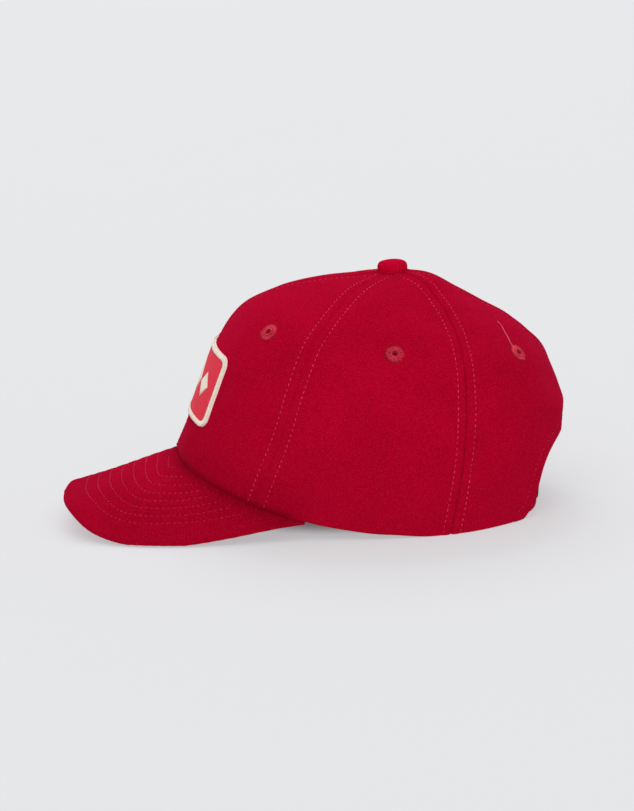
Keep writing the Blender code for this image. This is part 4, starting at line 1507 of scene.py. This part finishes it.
class Shade:
    """A value in a material that Python's operators work on."""

    def __init__(self, finish, socket):
        self.finish = finish
        self.socket = socket

    def maths(self, operation, *values):
        return self.finish.add("ShaderNodeMath", {"operation": operation}, dict(enumerate(values)))

    def __add__(self, other):
        return self.maths("ADD", self, other)

    __radd__ = __add__

    def __sub__(self, other):
        return self.maths("SUBTRACT", self, other)

    def __rsub__(self, other):
        return self.maths("SUBTRACT", other, self)

    def __mul__(self, other):
        return self.maths("MULTIPLY", self, other)

    __rmul__ = __mul__

    def __truediv__(self, other):
        return self.maths("DIVIDE", self, other)

    def wave(self):
        return self.maths("SINE", self)

    def within(self, low, high):
        """Goes from 0 to 1 as the value goes from low to high."""
        return self.finish.add(
            "ShaderNodeMapRange",
            {"interpolation_type": "SMOOTHSTEP"},
            {"Value": self, "From Min": low, "From Max": high},
        )


class Finish:
    """One procedural material."""

    def __init__(self, name, roughness, sheen=0.0, sheen_tint=(1, 1, 1), metallic=0.0, gloss=0.5):
        self.material = bpy.data.materials.new(name)
        self.material.use_nodes = True
        self.tree = self.material.node_tree
        self.shader = self.tree.nodes["Principled BSDF"]
        self.shader.inputs["Roughness"].default_value = roughness
        self.shader.inputs["Metallic"].default_value = metallic
        self.shader.inputs["Specular IOR Level"].default_value = gloss
        self.shader.inputs["Sheen Weight"].default_value = sheen
        self.shader.inputs["Sheen Roughness"].default_value = 0.45
        self.shader.inputs["Sheen Tint"].default_value = (*sheen_tint, 1)
        self.place = self.add("ShaderNodeTexCoord", output="Object")

    def add(self, kind, settings=None, values=None, output=0):
        """Adds a node: its own settings first, then the values or links of its sockets."""
        node = self.tree.nodes.new(kind)
        for key, value in (settings or {}).items():
            setattr(node, key, value)
        for socket, value in (values or {}).items():
            if isinstance(value, Shade):
                self.tree.links.new(value.socket, node.inputs[socket])
            else:
                node.inputs[socket].default_value = value
        return Shade(self, node.outputs[output])

    def noise(self, scale, detail=2.0, roughness=0.5, place=None):
        values = {"Scale": scale, "Detail": detail, "Roughness": roughness}
        return self.add("ShaderNodeTexNoise", None, {"Vector": place or self.place, **values})

    def part(self, vector, axis):
        """One of the three numbers of a vector."""
        return self.add("ShaderNodeSeparateXYZ", None, {0: vector}, axis)

    def blend(self, factor, one, two):
        """Colour from one to two as the factor goes from 0 to 1."""
        values = {"Factor": factor, 6: one, 7: two}
        return self.add("ShaderNodeMix", {"data_type": "RGBA"}, values, 2)

    def along_and_up(self):
        """The piece's own cloth coordinates, in metres."""
        mapped = self.add("ShaderNodeUVMap", {"uv_map": "cloth"})
        return self.part(mapped, 0), self.part(mapped, 1)

    def link(self, value, name):
        self.tree.links.new(value.socket, self.shader.inputs[name])

    def finish(self, color, height=None, depth=0.0, strength=1.0):
        """Links the colour, and a height as fine relief of a depth. Gives the material."""
        self.link(color, "Base Color")
        if height is not None:
            values = {"Height": height, "Distance": depth, "Strength": strength}
            self.link(self.add("ShaderNodeBump", None, values), "Normal")
        return self.material


def rgb(red, green, blue):
    """Colour as a screen shows it, turned into the linear values that materials use."""
    shares = np.array([red, green, blue]) / 255
    linear = np.where(shares < 0.04, shares / 12.92, ((shares + 0.055) / 1.055) ** 2.4)
    return (*(float(value) for value in linear), 1.0)


def shade(tone, red, green, blue):
    """The same colour, lighter or darker by a factor."""
    return (*(tone * value for value in rgb(red, green, blue)[:3]), 1.0)


def wool_finish(name, tone, low_painted_shade=None):
    """Brushed wool: fine fuzz, stray paler fibres, the least trace of diagonal ribs. Towards
    the floor its colour darkens to the low painted shade, if there is one."""
    wool = Finish(name, 0.95, sheen=0.17, sheen_tint=(1.0, 0.05, 0.20), gloss=0.0)
    fuzz = wool.noise(1700, 4.0, 0.65)
    tufts = wool.noise(420, 3.0, 0.6)
    patches = wool.noise(45, 2.0, 0.5)
    along, up = wool.along_and_up()
    bend = wool.noise(260, 2.0, 0.5) * 3.4
    ribs = ((along * 0.7 + up) * (2 * math.pi / (1.15 * MM)) + bend).wave() * 0.5 + 0.5
    mix = fuzz * 0.66 + tufts * 0.16 + ribs * 0.05 + patches * 0.13

    # Dyed colour scaled by a share: a share above 1 is painted light, below 1 painted shade
    def dye_with_painted_light(share):
        dark, light = shade(share, 150, 0, 24), shade(share, 197, 3, 46)
        return wool.blend(mix.within(0.28, 0.72), dark, light)

    color = dye_with_painted_light(tone)
    if low_painted_shade is not None:
        # Painted shade: the colour darkens from 36 mm down to 14 mm above the floor
        low = 1 - wool.part(wool.place, 2).within(14 * MM, 36 * MM)
        color = wool.blend(low, color, dye_with_painted_light(low_painted_shade))
    slanting = {0: (along * 0.75 - up) * 900, 1: (along + up * 0.75) * 2100}
    lying = wool.add("ShaderNodeCombineXYZ", None, slanting)
    fibres = wool.noise(1.0, 1.0, 0.5, lying).within(0.57, 0.76)
    color = wool.blend(fibres * 0.38, color, rgb(230, 56, 92))
    # Painted shade: the wool's colour darkens towards black beside the fold between crown and peak
    fold = wool.add("ShaderNodeAttribute", {"attribute_name": "fold"}, None, 2)
    color = wool.blend(fold, color, (0.0, 0.0, 0.0, 1.0))
    height = fuzz * 0.72 + tufts * 0.16 + fibres * 0.12
    return wool.finish(color, height, 0.40 * MM, 0.8)


def thread_finish(name, dark, light, slow_share=0.3, roughness=0.6):
    """Twisted thread: fine fibres whose colour is painted darker in the valleys of their relief,
    and lengths painted darker or paler as painted shade and light for lying deeper or higher.
    """
    thread = Finish(name, roughness, gloss=0.25)
    fibres = thread.noise(3200, 3.0, 0.6)
    slow = thread.noise(230, 2.0, 0.5)
    mix = fibres * (1 - slow_share) + slow * slow_share
    # Painted shade: the colour follows the fibres' relief, and the slow noise darkens or lightens
    # whole lengths
    color = thread.blend(mix.within(0.32, 0.68), dark, light)
    return thread.finish(color, fibres, 0.12 * MM, 0.7)


def field_finish():
    """Close rows of embroidery with a slight shine."""
    field = Finish("coral embroidery", 0.7, gloss=0.1)
    along, up = field.along_and_up()
    stray = field.noise(500, 2.0, 0.5) * 1.6
    rows = (up * (2 * math.pi / (0.5 * MM)) + stray).wave() * 0.5 + 0.5
    shifted = along * (2 * math.pi / (3.6 * MM)) + up * (2 * math.pi / (1.3 * MM))
    ends = shifted.wave().within(0.86, 1.0)
    tone = rows * 0.5 + field.noise(900, 2.0, 0.6) * 0.5
    color = field.blend(tone.within(0.25, 0.8), rgb(255, 46, 68), rgb(255, 72, 96))
    color = field.blend(ends * 0.35, color, rgb(190, 34, 54))
    return field.finish(color, rows - ends * 0.5, 0.25 * MM, 0.8)


def metal_finish():
    """Dark metal with a fine grain."""
    metal = Finish("dark metal", 0.38, metallic=1.0)
    grain = metal.noise(1800, 3.0, 0.6)
    color = metal.blend(grain.within(0.3, 0.7), rgb(92, 88, 84), rgb(128, 123, 118))
    metal.link(grain * 0.2 + 0.28, "Roughness")
    return metal.finish(color, grain, 0.03 * MM, 0.5)


def floor_finish():
    """Pale paper that glows evenly, so that shadows on it stay faint, and glows less under the
    crown: a painted shadow there.
    """
    floor = Finish("pale paper", 0.95)
    aside = floor.part(floor.place, 0) / HALF_WIDTH
    ahead = floor.part(floor.place, 1) - AXIS_Y
    ahead = (ahead + (FRONT_REACH - BACK_REACH) / 2) / ((FRONT_REACH + BACK_REACH) / 2)
    # Painted shadow: the glow is dimmed inside an oval under the crown
    painted_shadow_under_crown = 1 - (aside * aside + ahead * ahead).within(0.25, 0.70)
    glow = floor.blend(painted_shadow_under_crown, (0.436, 0.444, 0.459, 1), (0.12, 0.12, 0.12, 1))
    floor.link(glow, "Emission Color")
    floor.shader.inputs["Emission Strength"].default_value = 1.0
    floor.material.cycles.emission_sampling = "NONE"
    grain = floor.noise(3.0, 2.0, 0.5)
    return floor.finish(floor.blend(grain, (0.329, 0.329, 0.329, 1), (0.337, 0.337, 0.337, 1)))


# ---------------------------------------------------------------- studio


def make_floor(material):
    corners = [(x * FLOOR_REACH, y * FLOOR_REACH, -FLOOR_SINK) for x, y in FLOOR_CORNERS]
    mesh = new_mesh("floor", corners, [(0, 1, 2, 3)])
    mesh.materials.append(material)
    floor = new_object("floor", mesh)


def make_sun(sun):
    light = bpy.data.lights.new(sun.name, "SUN")
    light.energy = sun.strength
    light.angle = math.radians(sun.spread)
    obj = new_object(sun.name, light)
    obj.rotation_mode = "QUATERNION"
    obj.rotation_quaternion = Vector(sun.towards).to_track_quat("Z", "Y")


def make_studio(material):
    make_floor(material)
    world = bpy.data.worlds.new("studio")
    world.use_nodes = True
    background = world.node_tree.nodes["Background"]
    background.inputs["Color"].default_value = (1.0, 1.0, 1.0, 1)
    background.inputs["Strength"].default_value = SKY_STRENGTH
    scene = bpy.context.scene
    scene.world = world
    scene.view_settings.view_transform = "Standard"
    scene.view_settings.look = "None"
    for sun in SUNS:
        make_sun(sun)


def make_camera():
    """Camera at the photograph's angle: from the wearer's left, a little above the cap."""
    distance = 1.8
    elevation = math.radians(11.5)
    roll = math.radians(3.0)
    pixel = 0.55 * MM
    long_side = 811
    target = Vector((0, AXIS_Y - 45 * MM, 57.4 * MM))
    back = Vector((math.cos(elevation), 0, math.sin(elevation)))
    right = Vector((0, 0, 1)).cross(back).normalized()
    up = back.cross(right)
    turned_right = right * math.cos(roll) - up * math.sin(roll)
    turned_up = right * math.sin(roll) + up * math.cos(roll)
    data = bpy.data.cameras.new("camera")
    data.sensor_width = 36
    data.lens = 36 * distance / (pixel * long_side)
    camera = new_object("camera", data)
    axes = Matrix((turned_right, turned_up, back)).transposed()
    camera.matrix_world = Matrix.Translation(target + back * distance) @ axes.to_4x4()
    bpy.context.scene.camera = camera


# ---------------------------------------------------------------- the whole cap


def dress_cap():
    wool = wool_finish("red wool", 1.0)
    pink = thread_finish("stitch thread", rgb(176, 12, 48), rgb(240, 54, 98), 0.66)
    deep = thread_finish("peak thread", rgb(150, 2, 32), rgb(208, 26, 66), 0.66)
    rose = thread_finish("eyelet thread", rgb(196, 16, 46), rgb(255, 70, 100), 0.5)
    # Eyelet padding, dark: partly thread colour, partly painted shade in the gaps between the
    # eyelet's threads
    base = thread_finish("eyelet padding", rgb(126, 0, 28), rgb(146, 2, 34), roughness=0.8)
    cream = thread_finish("cream thread", rgb(240, 226, 206), rgb(255, 249, 236))
    loose = thread_finish("loose thread", rgb(214, 62, 84), rgb(250, 124, 138))
    seed = FIRST_EYELET_SEED
    for hand, side in (("left", 1), ("right", -1)):
        for eyelet in EYELETS:
            panel = make_panel(eyelet.panel, hand, side, wool)
            punch_hole(panel, eyelet, side)
            make_eyelet(eyelet, hand, side, base, rose, seed)
            seed += 1
    make_lip_threads(rose)
    make_loose_thread(EYELETS[-1], loose)
    make_seam_stitches("seam_stitches", SIDE_ROWS, 3, pink)
    make_seam_stitches("middle_stitches", MIDDLE_ROWS, 4, deep)
    lay_threads("arch_stitches", [arch_stitch_path(side) for side in (1, -1)], ARCH_LAID, 5, deep)
    # Peak wool with painted shade: its colour darkens towards the floor
    make_peak(wool_finish("peak wool", 1.0, 0.84))
    lay_threads("peak_stitches", peak_stitch_paths(), PEAK_LAID, 7, deep)
    # Button wool made lighter: partly the tighter-drawn cloth, partly a painted highlight from the
    # light above
    make_button(wool_finish("button wool", 1.28))
    make_patch_field(field_finish())
    make_patch_edge(cream)
    make_ornament(cream)
    make_strap(wool, pink)
    make_slide(metal_finish())


dress_cap()
make_studio(floor_finish())
make_camera()
